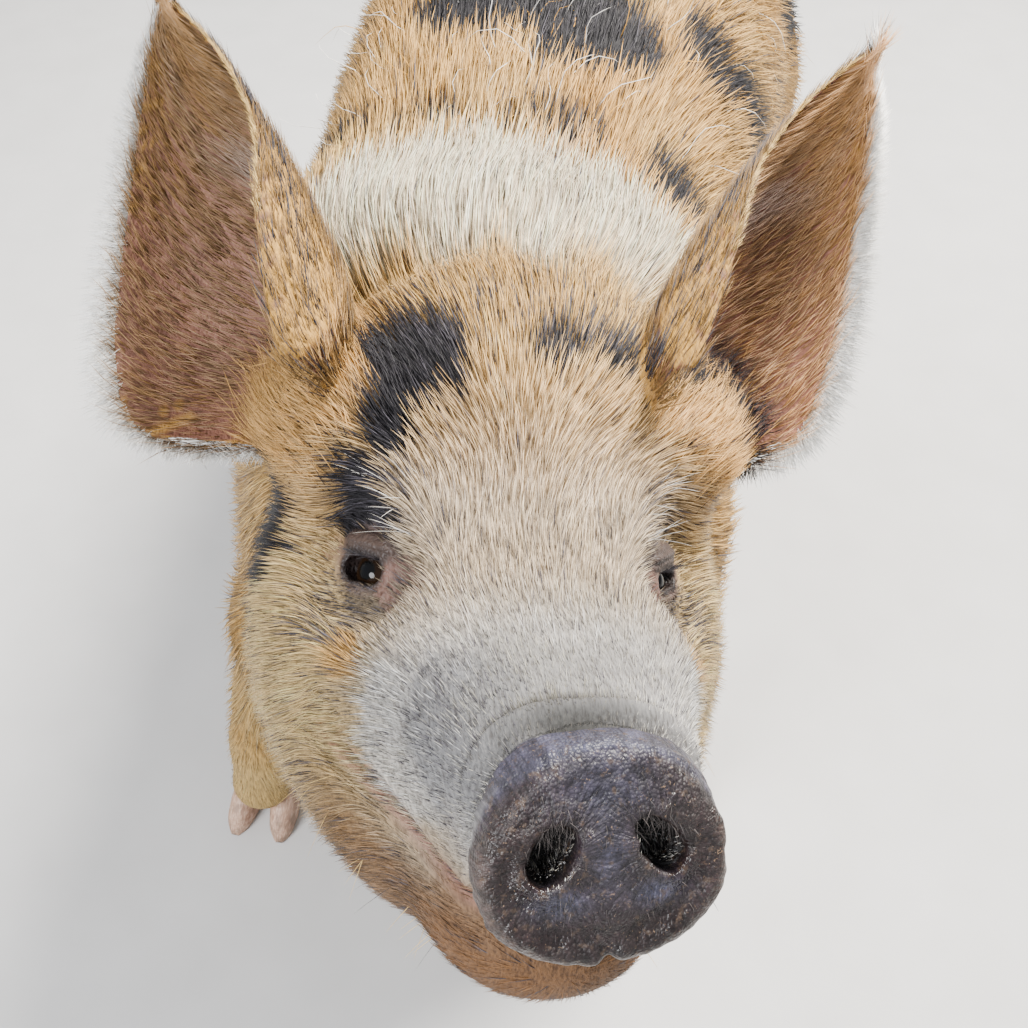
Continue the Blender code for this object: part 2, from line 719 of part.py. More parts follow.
def coat_locks(roots, length, width, thickness, high):
    """Locks that start under the core and follow the skin along the lie of the coat."""
    roots = settle(body_field, np.asarray(roots, float), 6)
    normals = slope_of(body_field, roots)
    normals /= np.linalg.norm(normals, axis=1, keepdims=True)
    heading = laid_along(lie_of(roots), normals)
    depth = coat_depth(roots)
    stations = []
    for share, lift in zip((0.0, 0.35, 0.68, 1.0), (-1.0, 0.15, 0.70, 1.0)):
        bottom = -CORE_SHARE * depth - LOCK_SINK
        level = bottom + LOCK_SINK + lift * np.where(lift < 0, LOCK_SINK, CORE_SHARE * depth + high)
        spots = settle(body_field, roots + heading * length * share, 5, level)
        up = slope_of(body_field, spots)
        stations.append((spots, up / np.linalg.norm(up, axis=1, keepdims=True)))
    return [
        lock_object([s[0][k] for s in stations], np.array([s[1][k] for s in stations]), width, thickness)
        for k in range(len(roots))
    ]


def join_all(made, pieces):
    """Unites the object with all the pieces at once, and removes them."""
    group = bpy.data.collections.new("pieces")
    for piece in pieces:
        group.objects.link(piece)
    step = made.modifiers.new("union", "BOOLEAN")
    step.operation = "UNION"
    step.solver = "MANIFOLD"
    step.operand_type = "COLLECTION"
    step.collection = group
    apply_modifiers(made)
    for piece in pieces:
        bpy.data.objects.remove(piece)
    bpy.data.collections.remove(group)
    keep_largest(made)


def flesh_locks():
    """Locks on the nape, back, flanks, cheeks, chin and crown."""
    made = []
    roots = []
    for row, y in enumerate(BACK_ROWS):
        for turn in (-100, -68, -34, 0, 34, 68, 100):
            angle = math.radians(turn + (17 if row % 2 else 0))
            if abs(math.degrees(angle)) < 112:
                roots.append((0.26 * math.sin(angle), y, 0.41 + 0.24 * math.cos(angle)))
    made += coat_locks(roots, 0.115, 0.056, 0.009, 0.003)
    cheeks = [(x * side, y, z) for side in (-1, 1) for x, y, z in CHEEK_ROOTS]
    cheeks = [HEAD_FRAME @ Vector(spot) for spot in cheeks + CHIN_ROOTS + CROWN_ROOTS]
    made += coat_locks(cheeks, 0.060, 0.034, 0.008, 0.003)
    return made


def tail_locks():
    """The switch of longer hair round the tip of the tail."""
    axis = np.array(TAIL_AXIS)
    made = []
    for turn in (20, 110, 200, 290):
        out = np.array([math.cos(math.radians(turn)), math.sin(math.radians(turn)), 0.0])
        spots = [axis[-3] - 0.001 * out, axis[-2] + 0.004 * out, axis[-1] + 0.009 * out]
        spots.append(axis[-1] + 0.011 * out + TAIL_SWITCH)
        made.append(lock_object(spots, np.array([out] * 4), 0.012, 0.005))
    return made


def flesh_object():
    """The whole body without ears and tail, finest on the face."""
    points, quads = surface_net(core_field, NET_LOW, NET_HIGH, NET_STEP)
    made = mesh_object("flesh", settle(core_field, points), quads.tolist())
    shell = bmesh.new()
    shell.from_mesh(made.data)
    head_inverse = HEAD_FRAME.inverted()
    for reach in FACE_REACH:
        edges = set()
        for face in shell.faces:
            spot = head_inverse @ face.calc_center_median()
            if spot.y < reach and abs(spot.x) < 0.15 and abs(spot.z) < 0.20:
                edges.update(face.edges)
        bmesh.ops.subdivide_edges(shell, edges=list(edges), cuts=1)
        bmesh.ops.triangulate(shell, faces=shell.faces)
        vertices = list(shell.verts)
        for _ in range(2):
            bmesh.ops.smooth_vert(
                shell, verts=vertices, factor=0.4, use_axis_x=True, use_axis_y=True, use_axis_z=True
            )
        places = settle(core_field, np.array([v.co for v in vertices]), 4)
        for vertex, place in zip(vertices, places):
            vertex.co = place
    shell.to_mesh(made.data)
    shell.free()
    return made


LOCK_SINK = 0.006
LOCK_WIDTHS = (0.75, 1.0, 0.72, 0.0)
LOCK_HEIGHTS = (1.0, 1.0, 0.7, 0.0)
BACK_ROWS = (-0.370, -0.290, -0.210, -0.120, -0.030, 0.060, 0.150, 0.240)
# Roots in the head's frame
CHEEK_ROOTS = [
    (0.110, -0.020, -0.045), (0.118, 0.020, -0.060), (0.112, -0.005, -0.095), (0.122, 0.055, -0.035),
    (0.118, 0.055, -0.085), (0.090, -0.060, -0.080), (0.085, -0.020, -0.125), (0.070, -0.095, -0.085),
]
CHIN_ROOTS = [(0.0, -0.135, -0.120), (-0.035, -0.110, -0.112), (0.035, -0.110, -0.112), (0.0, -0.060, -0.130)]
CROWN_ROOTS = [(-0.030, 0.060, 0.110), (0.030, 0.060, 0.110), (0.0, 0.095, 0.130)]
NET_STEP = 0.011
NET_LOW = (-0.33, -0.82, -0.02)
NET_HIGH = (0.33, 0.46, 0.80)
FACE_REACH = (0.10, 0.02)
# The planes that part the head from the neck and the neck from the torso
HEAD_CUT = HEAD_FRAME @ Matrix.Translation((0, 0.110, -0.030)) @ Matrix.Rotation(math.radians(-16), 4, "X")
NECK_CUT = Matrix.Translation((0, -0.405, 0.450)) @ Matrix.Rotation(math.radians(-22), 4, "X")
NOSE_CUT = HEAD_FRAME @ Matrix.Translation(NOSE_MIDDLE) @ nose_axes().to_4x4()
JAW_CUT = HEAD_FRAME @ Matrix.Translation((0, *MOUTH_FRONT)) @ Matrix.Rotation(-MOUTH_TILT, 4, "X")
FLESH_TRIANGLES = 4750
TAIL_AXIS = [
    (0.000, 0.370, 0.500), (0.002, 0.402, 0.492), (0.006, 0.424, 0.470), (0.014, 0.434, 0.440),
    (0.024, 0.432, 0.410), (0.030, 0.424, 0.384), (0.028, 0.418, 0.362), (0.020, 0.420, 0.346),
]
TAIL_RADII = [0.020, 0.016, 0.0125, 0.0100, 0.0085, 0.0070, 0.0058, 0.0035]
# How far the switch hangs past the tip
TAIL_SWITCH = (-0.004, 0.002, -0.032)

# Colour and roughness of each kind of node
GOLDEN_COAT = ((0.62, 0.40, 0.19), 0.85)
CREAM_COAT = ((0.74, 0.62, 0.46), 0.85)
PALE_FACE = ((0.70, 0.62, 0.50), 0.85)
PINK_EAR = ((0.60, 0.38, 0.28), 0.75)
DARK_NOSE = ((0.075, 0.052, 0.055), 0.45)
DARK_EYE = ((0.018, 0.011, 0.008), 0.08)
TAN_CLAW = ((0.36, 0.24, 0.17), 0.50)
COLOURS = {
    "head": PALE_FACE, "snout": PALE_FACE, "nose": DARK_NOSE, "jaw": CREAM_COAT, "neck": CREAM_COAT,
    "torso": GOLDEN_COAT, "ear": PINK_EAR, "eye": DARK_EYE, "tail": GOLDEN_COAT,
    "foreleg": GOLDEN_COAT, "hindleg": GOLDEN_COAT,
}


def painted(node):
    """Gives the node its own material."""
    colour, roughness = TAN_CLAW if "claw" in node.name else COLOURS[node.name.split("_")[0]]
    paint = bpy.data.materials.new(node.name)
    paint.use_nodes = True
    shader = paint.node_tree.nodes["Principled BSDF"]
    shader.inputs["Base Color"].default_value = (*colour, 1)
    shader.inputs["Roughness"].default_value = roughness
    shader.inputs["Metallic"].default_value = 0.0
    node.data.materials.clear()
    node.data.materials.append(paint)


def build():
    """Every node of the model, by name."""
    flesh = flesh_object()
    reduce_to(flesh, FLESH_TRIANGLES)
    join_all(flesh, flesh_locks())
    grown_flesh = grown(flesh, CUT_GAP)
    nodes = {}
    for name in EARS:
        ear = ear_sheet(name)
        join_all(ear, ear_locks(name))
        combine(ear, grown_flesh, "DIFFERENCE")
        keep_largest(ear)
        nodes[name] = ear
    tail = rings_object("tail", tube_rings(TAIL_AXIS, TAIL_RADII, 10))
    join_all(tail, tail_locks())
    combine(tail, grown_flesh, "DIFFERENCE")
    keep_largest(tail)
    nodes["tail"] = tail
    bpy.data.objects.remove(grown_flesh)
    for name in LEGS:
        joints = leg_joints(name)
        foot_x, foot_y = joints[-1][0], joints[-1][1]
        side = LEGS[name][1]
        for which, across, heading in (("outer", 1, 6), ("inner", -1, -4)):
            middle = (foot_x + side * across * 0.0165, foot_y + 0.012, 0)
            claw = f"{name}_claw_{which}"
            rings = claw_rings(middle, math.radians(side * heading), 0.050, 0.0128, 0.034, 0)
            nodes[claw] = rings_object(claw, rings)
            middle = (foot_x + side * across * 0.0200, foot_y + 0.044, 0)
            claw = f"{name}_dewclaw_{which}"
            rings = claw_rings(middle, math.radians(side * across * 14), 0.026, 0.0072, 0.020, 0.040)
            nodes[claw] = rings_object(claw, rings)
    for name, node in nodes.items():
        if "claw" in name:
            socket = grown(node, CUT_GAP)
            combine(flesh, socket, "DIFFERENCE")
            bpy.data.objects.remove(socket)
    for name, side in (("eye_left", 1), ("eye_right", -1)):
        place = Matrix.Translation((side * EYE_PLACE[0], *EYE_PLACE[1:]))
        nodes[name] = ball_object(name, HEAD_FRAME @ place, (EYE_RADIUS,) * 3)
        axes = eye_axes() * np.array([[side], [1], [1]])
        axes = Matrix(axes * np.array([1, 1, side])).to_4x4()
        slit = Matrix.Translation(place.translation + SLIT_AHEAD * axes.col[1].xyz) @ axes
        spot, axes_of_nostril = nostril_place(side)
        nostril = Matrix.Translation(spot) @ axes_of_nostril.to_4x4()
        tools = (
            grown(nodes[name], CUT_GAP),
            ball_object("tool", HEAD_FRAME @ slit, SLIT_RADII),
            ball_object("tool", HEAD_FRAME @ nostril, NOSTRIL_RADII),
        )
        for tool in tools:
            combine(flesh, tool, "DIFFERENCE")
            bpy.data.objects.remove(tool)
    keep_largest(flesh)
    far = 2.0
    head = part_off(flesh, "head", HEAD_CUT, (-far, -far, -far), (far, 0, far))
    nodes["jaw"] = part_off(head, "jaw", JAW_CUT, (-far, -far, -far), (far, 0.150, 0))
    disc_back = NOSE_HALF_DEPTH + 0.001
    nodes["nose"] = part_off(head, "nose", NOSE_CUT, (-0.075, -far, -0.060), (0.075, disc_back, 0.070))
    nodes["snout"] = part_off(head, "snout", HEAD_FRAME, (-far, -far, -far), (far, -0.085, far))
    nodes["head"] = head
    nodes["neck"] = part_off(flesh, "neck", NECK_CUT, (-far, -far, -far), (far, 0, far))
    still = Matrix.Identity(4)
    for name in LEGS:
        side = LEGS[name][1]
        front, back, top = (-0.560, -0.290, 0.245) if "fore" in name else (0.080, 0.420, 0.238)
        across = (0.070, far) if side > 0 else (-far, -0.070)
        nodes[name] = part_off(flesh, name, still, (across[0], front, -1), (across[1], back, top))
    flesh.name = "torso"
    nodes["torso"] = flesh
    return nodes


def main():
    """Builds the nodes and gives each its name, material and place."""
    for name, node in build().items():
        node.name = name
        node.data.name = name
        node.location = MIDDLE_SHIFT
        painted(node)


for old in list(bpy.data.objects):
    bpy.data.objects.remove(old)
PIG = bpy.data.collections.new("domestic_pig")
bpy.context.scene.collection.children.link(PIG)
if __name__ == "__main__":
    main()
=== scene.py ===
"""The looks of a life-size still model of a spotted domestic pig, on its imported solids.

One skin with ears and tail stands for the flesh, under a coat of hair that carries the same markings.
"""

import json
import math
from concurrent.futures import ThreadPoolExecutor
from functools import cache
from itertools import product

import bmesh
import bpy
import numpy as np
from mathutils import Euler, Matrix, Vector

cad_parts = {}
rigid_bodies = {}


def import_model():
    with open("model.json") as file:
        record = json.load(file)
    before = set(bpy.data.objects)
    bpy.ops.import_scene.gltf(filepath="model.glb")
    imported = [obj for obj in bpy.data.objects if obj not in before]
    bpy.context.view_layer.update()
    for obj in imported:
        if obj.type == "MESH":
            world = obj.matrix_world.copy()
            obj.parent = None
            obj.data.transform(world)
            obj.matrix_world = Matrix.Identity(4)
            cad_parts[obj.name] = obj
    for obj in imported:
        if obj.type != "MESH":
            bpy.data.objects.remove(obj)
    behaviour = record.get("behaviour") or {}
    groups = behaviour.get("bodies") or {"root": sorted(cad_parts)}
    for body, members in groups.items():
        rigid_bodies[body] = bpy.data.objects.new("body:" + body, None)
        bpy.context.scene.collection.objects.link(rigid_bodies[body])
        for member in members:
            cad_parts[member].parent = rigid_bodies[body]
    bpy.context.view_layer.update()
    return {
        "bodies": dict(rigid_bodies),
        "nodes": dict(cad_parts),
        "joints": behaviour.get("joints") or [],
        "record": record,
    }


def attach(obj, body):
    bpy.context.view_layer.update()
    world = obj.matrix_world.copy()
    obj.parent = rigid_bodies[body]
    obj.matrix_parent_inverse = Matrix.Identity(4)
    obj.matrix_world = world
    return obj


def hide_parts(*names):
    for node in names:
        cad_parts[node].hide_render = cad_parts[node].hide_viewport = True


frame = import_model()

# Moves the finished model so that the middle of its bounding box stands on the origin
MIDDLE_SHIFT = (0.0, 0.1546, 0.0)

BACK_HEIGHT = 0.636
BELLY_HEIGHT = 0.178
BARREL_HALF_WIDTH = 0.200
# The head's own frame starts midway between the eyes and looks along -y to the middle of the nose disc.
EYES_MIDDLE = (0.061, -0.560, 0.544)
HEAD_TURN = math.radians(20.5)
HEAD_LIFT = math.radians(17.0)
HEAD_TILT = math.radians(12.7)
EYE_PLACE = (0.0660, 0.0050, -0.0060)
EYE_LOOK = (0.70, -0.48, 0.52)
EYE_SLIT = (-0.35, -1.0, -0.30)
EYE_RADIUS = 0.0122
LID_RADIUS = 0.0150
NOSE_MIDDLE = (0, -0.172, -0.004)
NOSE_LIFT = math.radians(26.0)
NOSE_ROLL = math.radians(-6.5)
NOSE_TAPER = 0.10
NOSE_HALF_WIDTH = 0.0480
NOSE_HALF_HEIGHT = 0.0415
NOSE_HALF_DEPTH = 0.0100
NOSTRIL_SPREAD = 0.0200
NOSTRIL_HEIGHT = 0.0045
NOSTRIL_LEAN = math.radians(30)
MOUTH_CORNER_Y = -0.040
MOUTH_FRONT = (-0.185, -0.0455)
MOUTH_TILT = math.radians(4.5)

HEAD_FRAME = Matrix.Translation(EYES_MIDDLE) @ (
    Matrix.Rotation(HEAD_TURN, 4, "Z")
    @ Matrix.Rotation(-HEAD_LIFT, 4, "X")
    @ Matrix.Rotation(HEAD_TILT, 4, "Y")
)


def smooth_curve(at, places, values):
    """A smooth curve through the values at the places, read at every point of at."""
    places = np.asarray(places, float)
    values = np.asarray(values, float)
    slopes = np.gradient(values, places)
    at = np.clip(at, places[0], places[-1])
    left = np.clip(np.searchsorted(places, at) - 1, 0, len(places) - 2)
    span = places[left + 1] - places[left]
    t = (at - places[left]) / span
    level = values[left] * (1 + 2 * t) * (1 - t) ** 2 + values[left + 1] * t * t * (3 - 2 * t)
    lean = span * (slopes[left] * t * (1 - t) ** 2 - slopes[left + 1] * t * t * (1 - t))
    return level + lean


def blend(first, second, width):
    """Joins two fields with a fillet about as wide as width."""
    share = np.clip(0.5 + 0.5 * (second - first) / width, 0, 1)
    return second * (1 - share) + first * share - width * share * (1 - share)


def carve(body, tool, width):
    """Takes the tool out of the body with a rounded lip."""
    return -blend(-body, tool, width)


def rise(value, low, high):
    """0 below low, 1 above high and smooth between."""
    t = np.clip((value - low) / (high - low), 0, 1)
    return t * t * (3 - 2 * t)


def unit(vectors, least=1e-9):
    """The vectors made one long, or left short where they are shorter than the least."""
    return vectors / np.maximum(np.linalg.norm(vectors, axis=-1, keepdims=True), least)


def ball(points, centre, radii, turn=(0, 0, 0)):
    """An ellipsoid with these radii, turned by Euler angles in degrees or by a matrix of its axes."""
    local = points - np.asarray(centre, float)
    if np.ndim(turn) == 2:
        local = local @ turn
    elif any(turn):
        local = local @ np.array(Euler([math.radians(a) for a in turn]).to_matrix())
    radii = np.asarray(radii, float)
    outer = np.linalg.norm(local / radii, axis=1)
    slope = np.linalg.norm(local / radii**2, axis=1)
    return outer * (outer - 1) / np.maximum(slope, 1e-9)


def limb(points, start, end, start_radius, end_radius):
    """A rounded cone between two joints."""
    start = np.asarray(start, float)
    along = np.asarray(end, float) - start
    reach = along @ along
    t = np.clip((points - start) @ along / reach, 0, 1)
    away = points - start - t[:, None] * along
    return np.linalg.norm(away, axis=1) - (start_radius + t * (end_radius - start_radius))


def sweep(points, places, tops, bottoms, widths, middles, squareness):
    """A body swept along y: its top line, bottom line, half width and widest level at each place."""
    y = points[:, 1]
    level = smooth_curve(y, places, middles)
    top = smooth_curve(y, places, tops) - level
    bottom = level - smooth_curve(y, places, bottoms)
    width = smooth_curve(y, places, widths)
    above = points[:, 2] - level
    height = np.where(above > 0, top, bottom)
    x = points[:, 0]
    power = smooth_curve(y, places, squareness)
    scaled = ((np.abs(x / width) + 1e-9) ** power + (np.abs(above / height) + 1e-9) ** power) ** (1 / power)
    radius = np.hypot(x, above)
    across = radius - radius / scaled
    past = np.maximum(places[0] - y, y - places[-1])
    beyond = np.hypot(np.maximum(across, 0), np.maximum(past, 0))
    return np.where(past > 0, np.where(across > 0, beyond, past), across)


# y, top line, belly line, half width, widest level, squareness
BARREL = np.array([
    (-0.440, 0.560, 0.290, 0.112, 0.430, 2.1),
    (-0.360, 0.600, 0.250, 0.145, 0.430, 2.2),
    (-0.260, 0.622, 0.222, 0.165, 0.420, 2.2),
    (-0.140, 0.632, 0.196, 0.180, 0.408, 2.25),
    (-0.020, BACK_HEIGHT, BELLY_HEIGHT, 0.193, 0.398, 2.3),
    (0.100, 0.632, 0.176, BARREL_HALF_WIDTH, 0.395, 2.3),
    (0.200, 0.616, 0.196, 0.198, 0.400, 2.25),
    (0.290, 0.580, 0.238, 0.174, 0.405, 2.15),
    (0.350, 0.535, 0.290, 0.132, 0.405, 2.1),
])

# In the head's frame: y, top line, bottom line, half width, widest level, squareness
SKULL = np.array([
    (-0.158, 0.036, -0.072, 0.047, -0.012, 2.5),
    (-0.130, 0.034, -0.094, 0.057, -0.024, 2.5),
    (-0.100, 0.031, -0.106, 0.068, -0.036, 2.5),
    (-0.070, 0.029, -0.108, 0.083, -0.044, 2.5),
    (-0.040, 0.030, -0.118, 0.099, -0.050, 2.5),
    (-0.010, 0.038, -0.130, 0.110, -0.050, 2.5),
    (0.020, 0.060, -0.140, 0.116, -0.045, 2.4),
    (0.050, 0.088, -0.146, 0.120, -0.035, 2.2),
    (0.080, 0.110, -0.148, 0.120, -0.022, 2.1),
    (0.110, 0.120, -0.146, 0.118, -0.010, 2.1),
])

# Middle, radii, turn in degrees, width of the fillet, and whether the part comes in a pair,
# of the jowl, cheek, brow, poll and chin
HEAD_BALLS = (
    ((0.054, -0.015, -0.092), (0.060, 0.110, 0.054), (0, 0, -16), 0.04, True),
    ((0.066, 0.045, -0.055), (0.064, 0.075, 0.075), (0, 0, 0), 0.03, True),
    ((0.052, 0.014, 0.020), (0.026, 0.034, 0.022), (0, 0, 0), 0.025, True),
    ((0, 0.090, 0.055), (0.095, 0.065, 0.068), (0, 0, 0), 0.04, False),
    ((0, -0.130, -0.081), (0.053, 0.046, 0.036), (0, 0, 0), 0.02, False),
)
# Rump, shoulder and chest
TORSO_BALLS = (
    ((0.052, 0.255, 0.400), (0.132, 0.150, 0.178), (16, 0, 0), 0.07, True),
    ((0.088, -0.345, 0.400), (0.078, 0.125, 0.185), (-10, 0, 0), 0.06, True),
    ((0, -0.430, 0.370), (0.125, 0.098, 0.120), (0, 0, 0), 0.07, False),
)
NAPE_BALL = ((0.012, -0.370, 0.525), (0.122, 0.085, 0.118), (0, 0, 0), 0.035, False)


def to_head(points):
    """The points in the head's own frame."""
    frame = np.array(HEAD_FRAME.inverted())
    return points @ frame[:3, :3].T + frame[:3, 3]


def mirrored(points):
    """The points with both sides folded onto +x, for parts that come in pairs."""
    return np.column_stack([np.abs(points[:, 0]), points[:, 1:]])


def with_balls(value, points, balls):
    """The field with rounded parts blended onto it, some of them in pairs."""
    folded = mirrored(points)
    for middle, radii, turn, fillet, paired in balls:
        value = blend(value, ball(folded if paired else points, middle, radii, turn), fillet)
    return value


def nose_axes():
    """The disc's width, the way straight into it and its height, as the columns of a matrix."""
    return Euler((-NOSE_LIFT, 0, 0)).to_matrix() @ Euler((0, NOSE_ROLL, 0)).to_matrix()


def coin(points, centre, half_width, half_height, half_depth, round_over):
    """A rounded disc along the nose's axes, narrower towards the top."""
    local = (points - np.asarray(centre, float)) @ np.array(nose_axes())
    narrower = 1 + NOSE_TAPER * local[:, 2] / half_height
    oval = np.hypot(local[:, 0] * narrower / half_width, local[:, 2] / half_height)
    radial = (oval - 1) * half_height + round_over
    axial = np.abs(local[:, 1]) - half_depth + round_over
    outside = np.hypot(np.maximum(radial, 0), np.maximum(axial, 0))
    return outside + np.minimum(np.maximum(radial, axial), 0) - round_over


def eye_axes():
    """The slit's direction, the way the eye looks and the third axis, as the columns of a matrix."""
    look = np.array(EYE_LOOK) / np.linalg.norm(EYE_LOOK)
    slit = np.array(EYE_SLIT) - look * (np.array(EYE_SLIT) @ look)
    slit /= np.linalg.norm(slit)
    return np.column_stack([slit, look, np.cross(slit, look)])


def eye_fields(local, head):
    """The hollow round each eye and the lids over it."""
    folded = mirrored(local)
    place = np.array(EYE_PLACE)
    axes = eye_axes()
    look = axes[:, 1]
    head = carve(head, ball(folded, place + 0.021 * look, (0.024, 0.012, 0.017), axes), 0.028)
    lids = ball(folded, place, (0.0195, LID_RADIUS, LID_RADIUS), axes)
    return blend(head, lids, 0.016)


def mouth_level(local):
    """The height of the line where the lips meet, at each point's place along the head."""
    return MOUTH_FRONT[1] - math.tan(MOUTH_TILT) * (local[:, 1] - MOUTH_FRONT[0])


def mouth_field(local, head):
    """A shallow groove along the line where the lips meet."""
    slit = np.maximum(np.abs(local[:, 2] - mouth_level(local)) - 0.0020, local[:, 1] - MOUTH_CORNER_Y)
    slit = np.maximum(slit, -(head + 0.0025))
    return carve(head, slit, 0.006)


def disc_field(local):
    """The nose disc alone."""
    return coin(local, NOSE_MIDDLE, NOSE_HALF_WIDTH, NOSE_HALF_HEIGHT, NOSE_HALF_DEPTH, 0.007)


def nose_field(local, head):
    """The nose disc with its upturned rim and the fold behind it."""
    disc = disc_field(local)
    fold = ball(local, (0, -0.136, 0.046), (0.036, 0.005, 0.012), (-26, 0, 0))
    behind = (0, NOSE_MIDDLE[1] + 0.022, NOSE_MIDDLE[2] - 0.008)
    core = coin(local, behind, NOSE_HALF_WIDTH - 0.006, NOSE_HALF_HEIGHT - 0.005, 0.020, 0.010)
    head = carve(blend(head, core, 0.012), fold, 0.010)
    return blend(head, disc, 0.008)


def head_field(points):
    """The head, without its ears."""
    local = to_head(points)
    head = with_balls(sweep(local, *SKULL.T), local, HEAD_BALLS)
    head = nose_field(local, head)
    head = mouth_field(local, head)
    return eye_fields(local, head)


def torso_field(points):
    """The barrel with the shoulders, chest and rump."""
    return with_balls(sweep(points, *BARREL.T), points, TORSO_BALLS)


def neck_field(points):
    """The short thick neck and the roll of fat behind the poll."""
    back_of_head = HEAD_FRAME @ Vector((0, 0.120, -0.040))
    neck = limb(points, (0, -0.320, 0.440), back_of_head, 0.145, 0.106)
    return with_balls(neck, points, [NAPE_BALL])


# x, y, z and radius of each joint from the shoulder or hip down to the foot
FORE_JOINTS = [
    (0.098, -0.360, 0.340, 0.090), (0.128, -0.398, 0.235, 0.066), (0.142, -0.412, 0.155, 0.0450),
    (0.150, -0.420, 0.100, 0.0345), (0.158, -0.436, 0.044, 0.0300),
]
HIND_JOINTS = [
    (0.100, 0.235, 0.350, 0.122), (0.126, 0.185, 0.245, 0.092), (0.134, 0.290, 0.165, 0.0470),
    (0.138, 0.286, 0.100, 0.0350), (0.142, 0.264, 0.044, 0.0305),
]
# Joints, side, and how far the foot has stepped outwards and backwards
LEGS = {
    "foreleg_left": (FORE_JOINTS, 1, 0.000, 0.012),
    "foreleg_right": (FORE_JOINTS, -1, 0.031, -0.018),
    "hindleg_left": (HIND_JOINTS, 1, 0.000, -0.022),
    "hindleg_right": (HIND_JOINTS, -1, 0.004, 0.026),
}
# Share of its step that each joint of a leg takes
STEP_SHARES = (0.0, 0.25, 0.6, 0.85, 1.0)
BONE_FILLET = 0.030
LEG_FILLET = 0.05
NECK_FILLET = 0.05
HEAD_FILLET = 0.03
# The least depth of the coat on the face, on the lids and at the feet
FACE_DEPTH = 0.0035
LID_DEPTH = 0.0010
FOOT_DEPTH = 0.0035
# Limits of one move onto a surface
LEAST_STEEPNESS = 0.05
LONGEST_MOVE = 0.012


def leg_joints(name):
    """Where the joints of one leg are, the lower ones moved by its step."""
    joints, side, outward, back = LEGS[name]
    return [(side * (x + s * outward), y + s * back, z, r) for (x, y, z, r), s in zip(joints, STEP_SHARES)]


def legs_field(points):
    """All four legs as rounded cones from joint to joint."""
    legs = None
    for name in LEGS:
        joints = leg_joints(name)
        leg = None
        for upper, lower in zip(joints, joints[1:]):
            bone = limb(points, upper[:3], lower[:3], upper[3], lower[3])
            leg = bone if leg is None else blend(leg, bone, BONE_FILLET)
        legs = leg if legs is None else np.minimum(legs, leg)
    return legs


def body_field(points):
    """All the flesh but the ears and tail."""
    body = blend(torso_field(points), legs_field(points), LEG_FILLET)
    body = blend(body, neck_field(points), NECK_FILLET)
    return blend(body, head_field(points), HEAD_FILLET)


def eye_distance(local):
    """Distance of points in the head's frame from the middle of the nearer eye."""
    return np.linalg.norm(mirrored(local) - np.array(EYE_PLACE), axis=1)


def coat_depth(points):
    """How far the tips of the coat lie above the skin: least on the nose, the lids and the feet."""
    local = to_head(points)
    across = np.abs(local[:, 0])
    low_cheek = rise(across, 0.045, 0.100) * rise(-local[:, 2], -0.030, 0.040)
    face = FACE_DEPTH + 0.0045 * rise(local[:, 1], -0.120, 0.030) + 0.0040 * low_cheek
    face = LID_DEPTH + (face - LID_DEPTH) * rise(eye_distance(local), 0.017, 0.036)
    face *= rise(disc_field(local), 0.0005, 0.0100)
    body = FOOT_DEPTH + 0.0085 * rise(points[:, 2], 0.060, 0.240)
    past = rise(local[:, 1], 0.050, 0.120)
    return face * (1 - past) + body * past


def lie_of(points):
    """The way the coat lies at each point, before it is laid along the skin."""
    local = to_head(points)
    across = np.abs(local[:, 0])
    low_cheek = rise(across, 0.040, 0.100) * rise(-local[:, 2], -0.030, 0.050)
    face = np.column_stack([3.0 * local[:, 0], np.ones(len(points)), -0.15 - 0.9 * low_cheek])
    face = face @ np.array(HEAD_FRAME)[:3, :3].T
    side = rise(np.abs(points[:, 0]), 0.060, 0.180)
    body = np.column_stack([np.zeros(len(points)), np.ones(len(points)), -0.75 * side])
    down = np.array([0.0, 0.25, -1.0])
    leg = rise(-points[:, 2], -0.300, -0.180)[:, None]
    chest = (rise(-points[:, 1], 0.360, 0.460) * rise(-points[:, 2], -0.560, -0.430))[:, None]
    body = body * (1 - leg) + down * leg
    body = body * (1 - 0.8 * chest) + down * 0.8 * chest
    past = rise(local[:, 1], 0.080, 0.160)[:, None]
    return face * (1 - past) + body * past


def laid_along(directions, normals):
    """The directions made to run along the skin."""
    return unit(directions - normals * (directions * normals).sum(1, keepdims=True))


def slope_of(field, points, reach=0.0006):
    """The field's gradient at each point."""
    return np.column_stack([
        (field(points + step) - field(points - step)) / (2 * reach) for step in reach * np.eye(3)
    ])


def settle(field, points, rounds):
    """Moves the points onto the surface of the field."""
    for _ in range(rounds):
        slope = slope_of(field, points)
        steepness = np.maximum((slope**2).sum(1), LEAST_STEEPNESS)
        move = (field(points) / steepness)[:, None] * slope
        length = np.linalg.norm(move, axis=1, keepdims=True)
        points = points - move * np.minimum(1, LONGEST_MOVE / np.maximum(length, 1e-9))
    return points


# Share of the length, reach of the outer margin, its half angle, reach of the inner margin, its half angle
EAR_SHAPE = np.array([
    (0.00, 0.030, 60, 0.020, 90), (0.07, 0.058, 74, 0.034, 120), (0.16, 0.076, 74, 0.044, 136),
    (0.32, 0.081, 66, 0.046, 137), (0.50, 0.072, 54, 0.041, 125), (0.68, 0.053, 44, 0.033, 95),
    (0.84, 0.031, 37, 0.021, 65), (0.95, 0.012, 30, 0.009, 45), (1.00, 0.0035, 30, 0.003, 40),
])
EAR_THICKNESS = 0.0065
EAR_BEND = -0.016
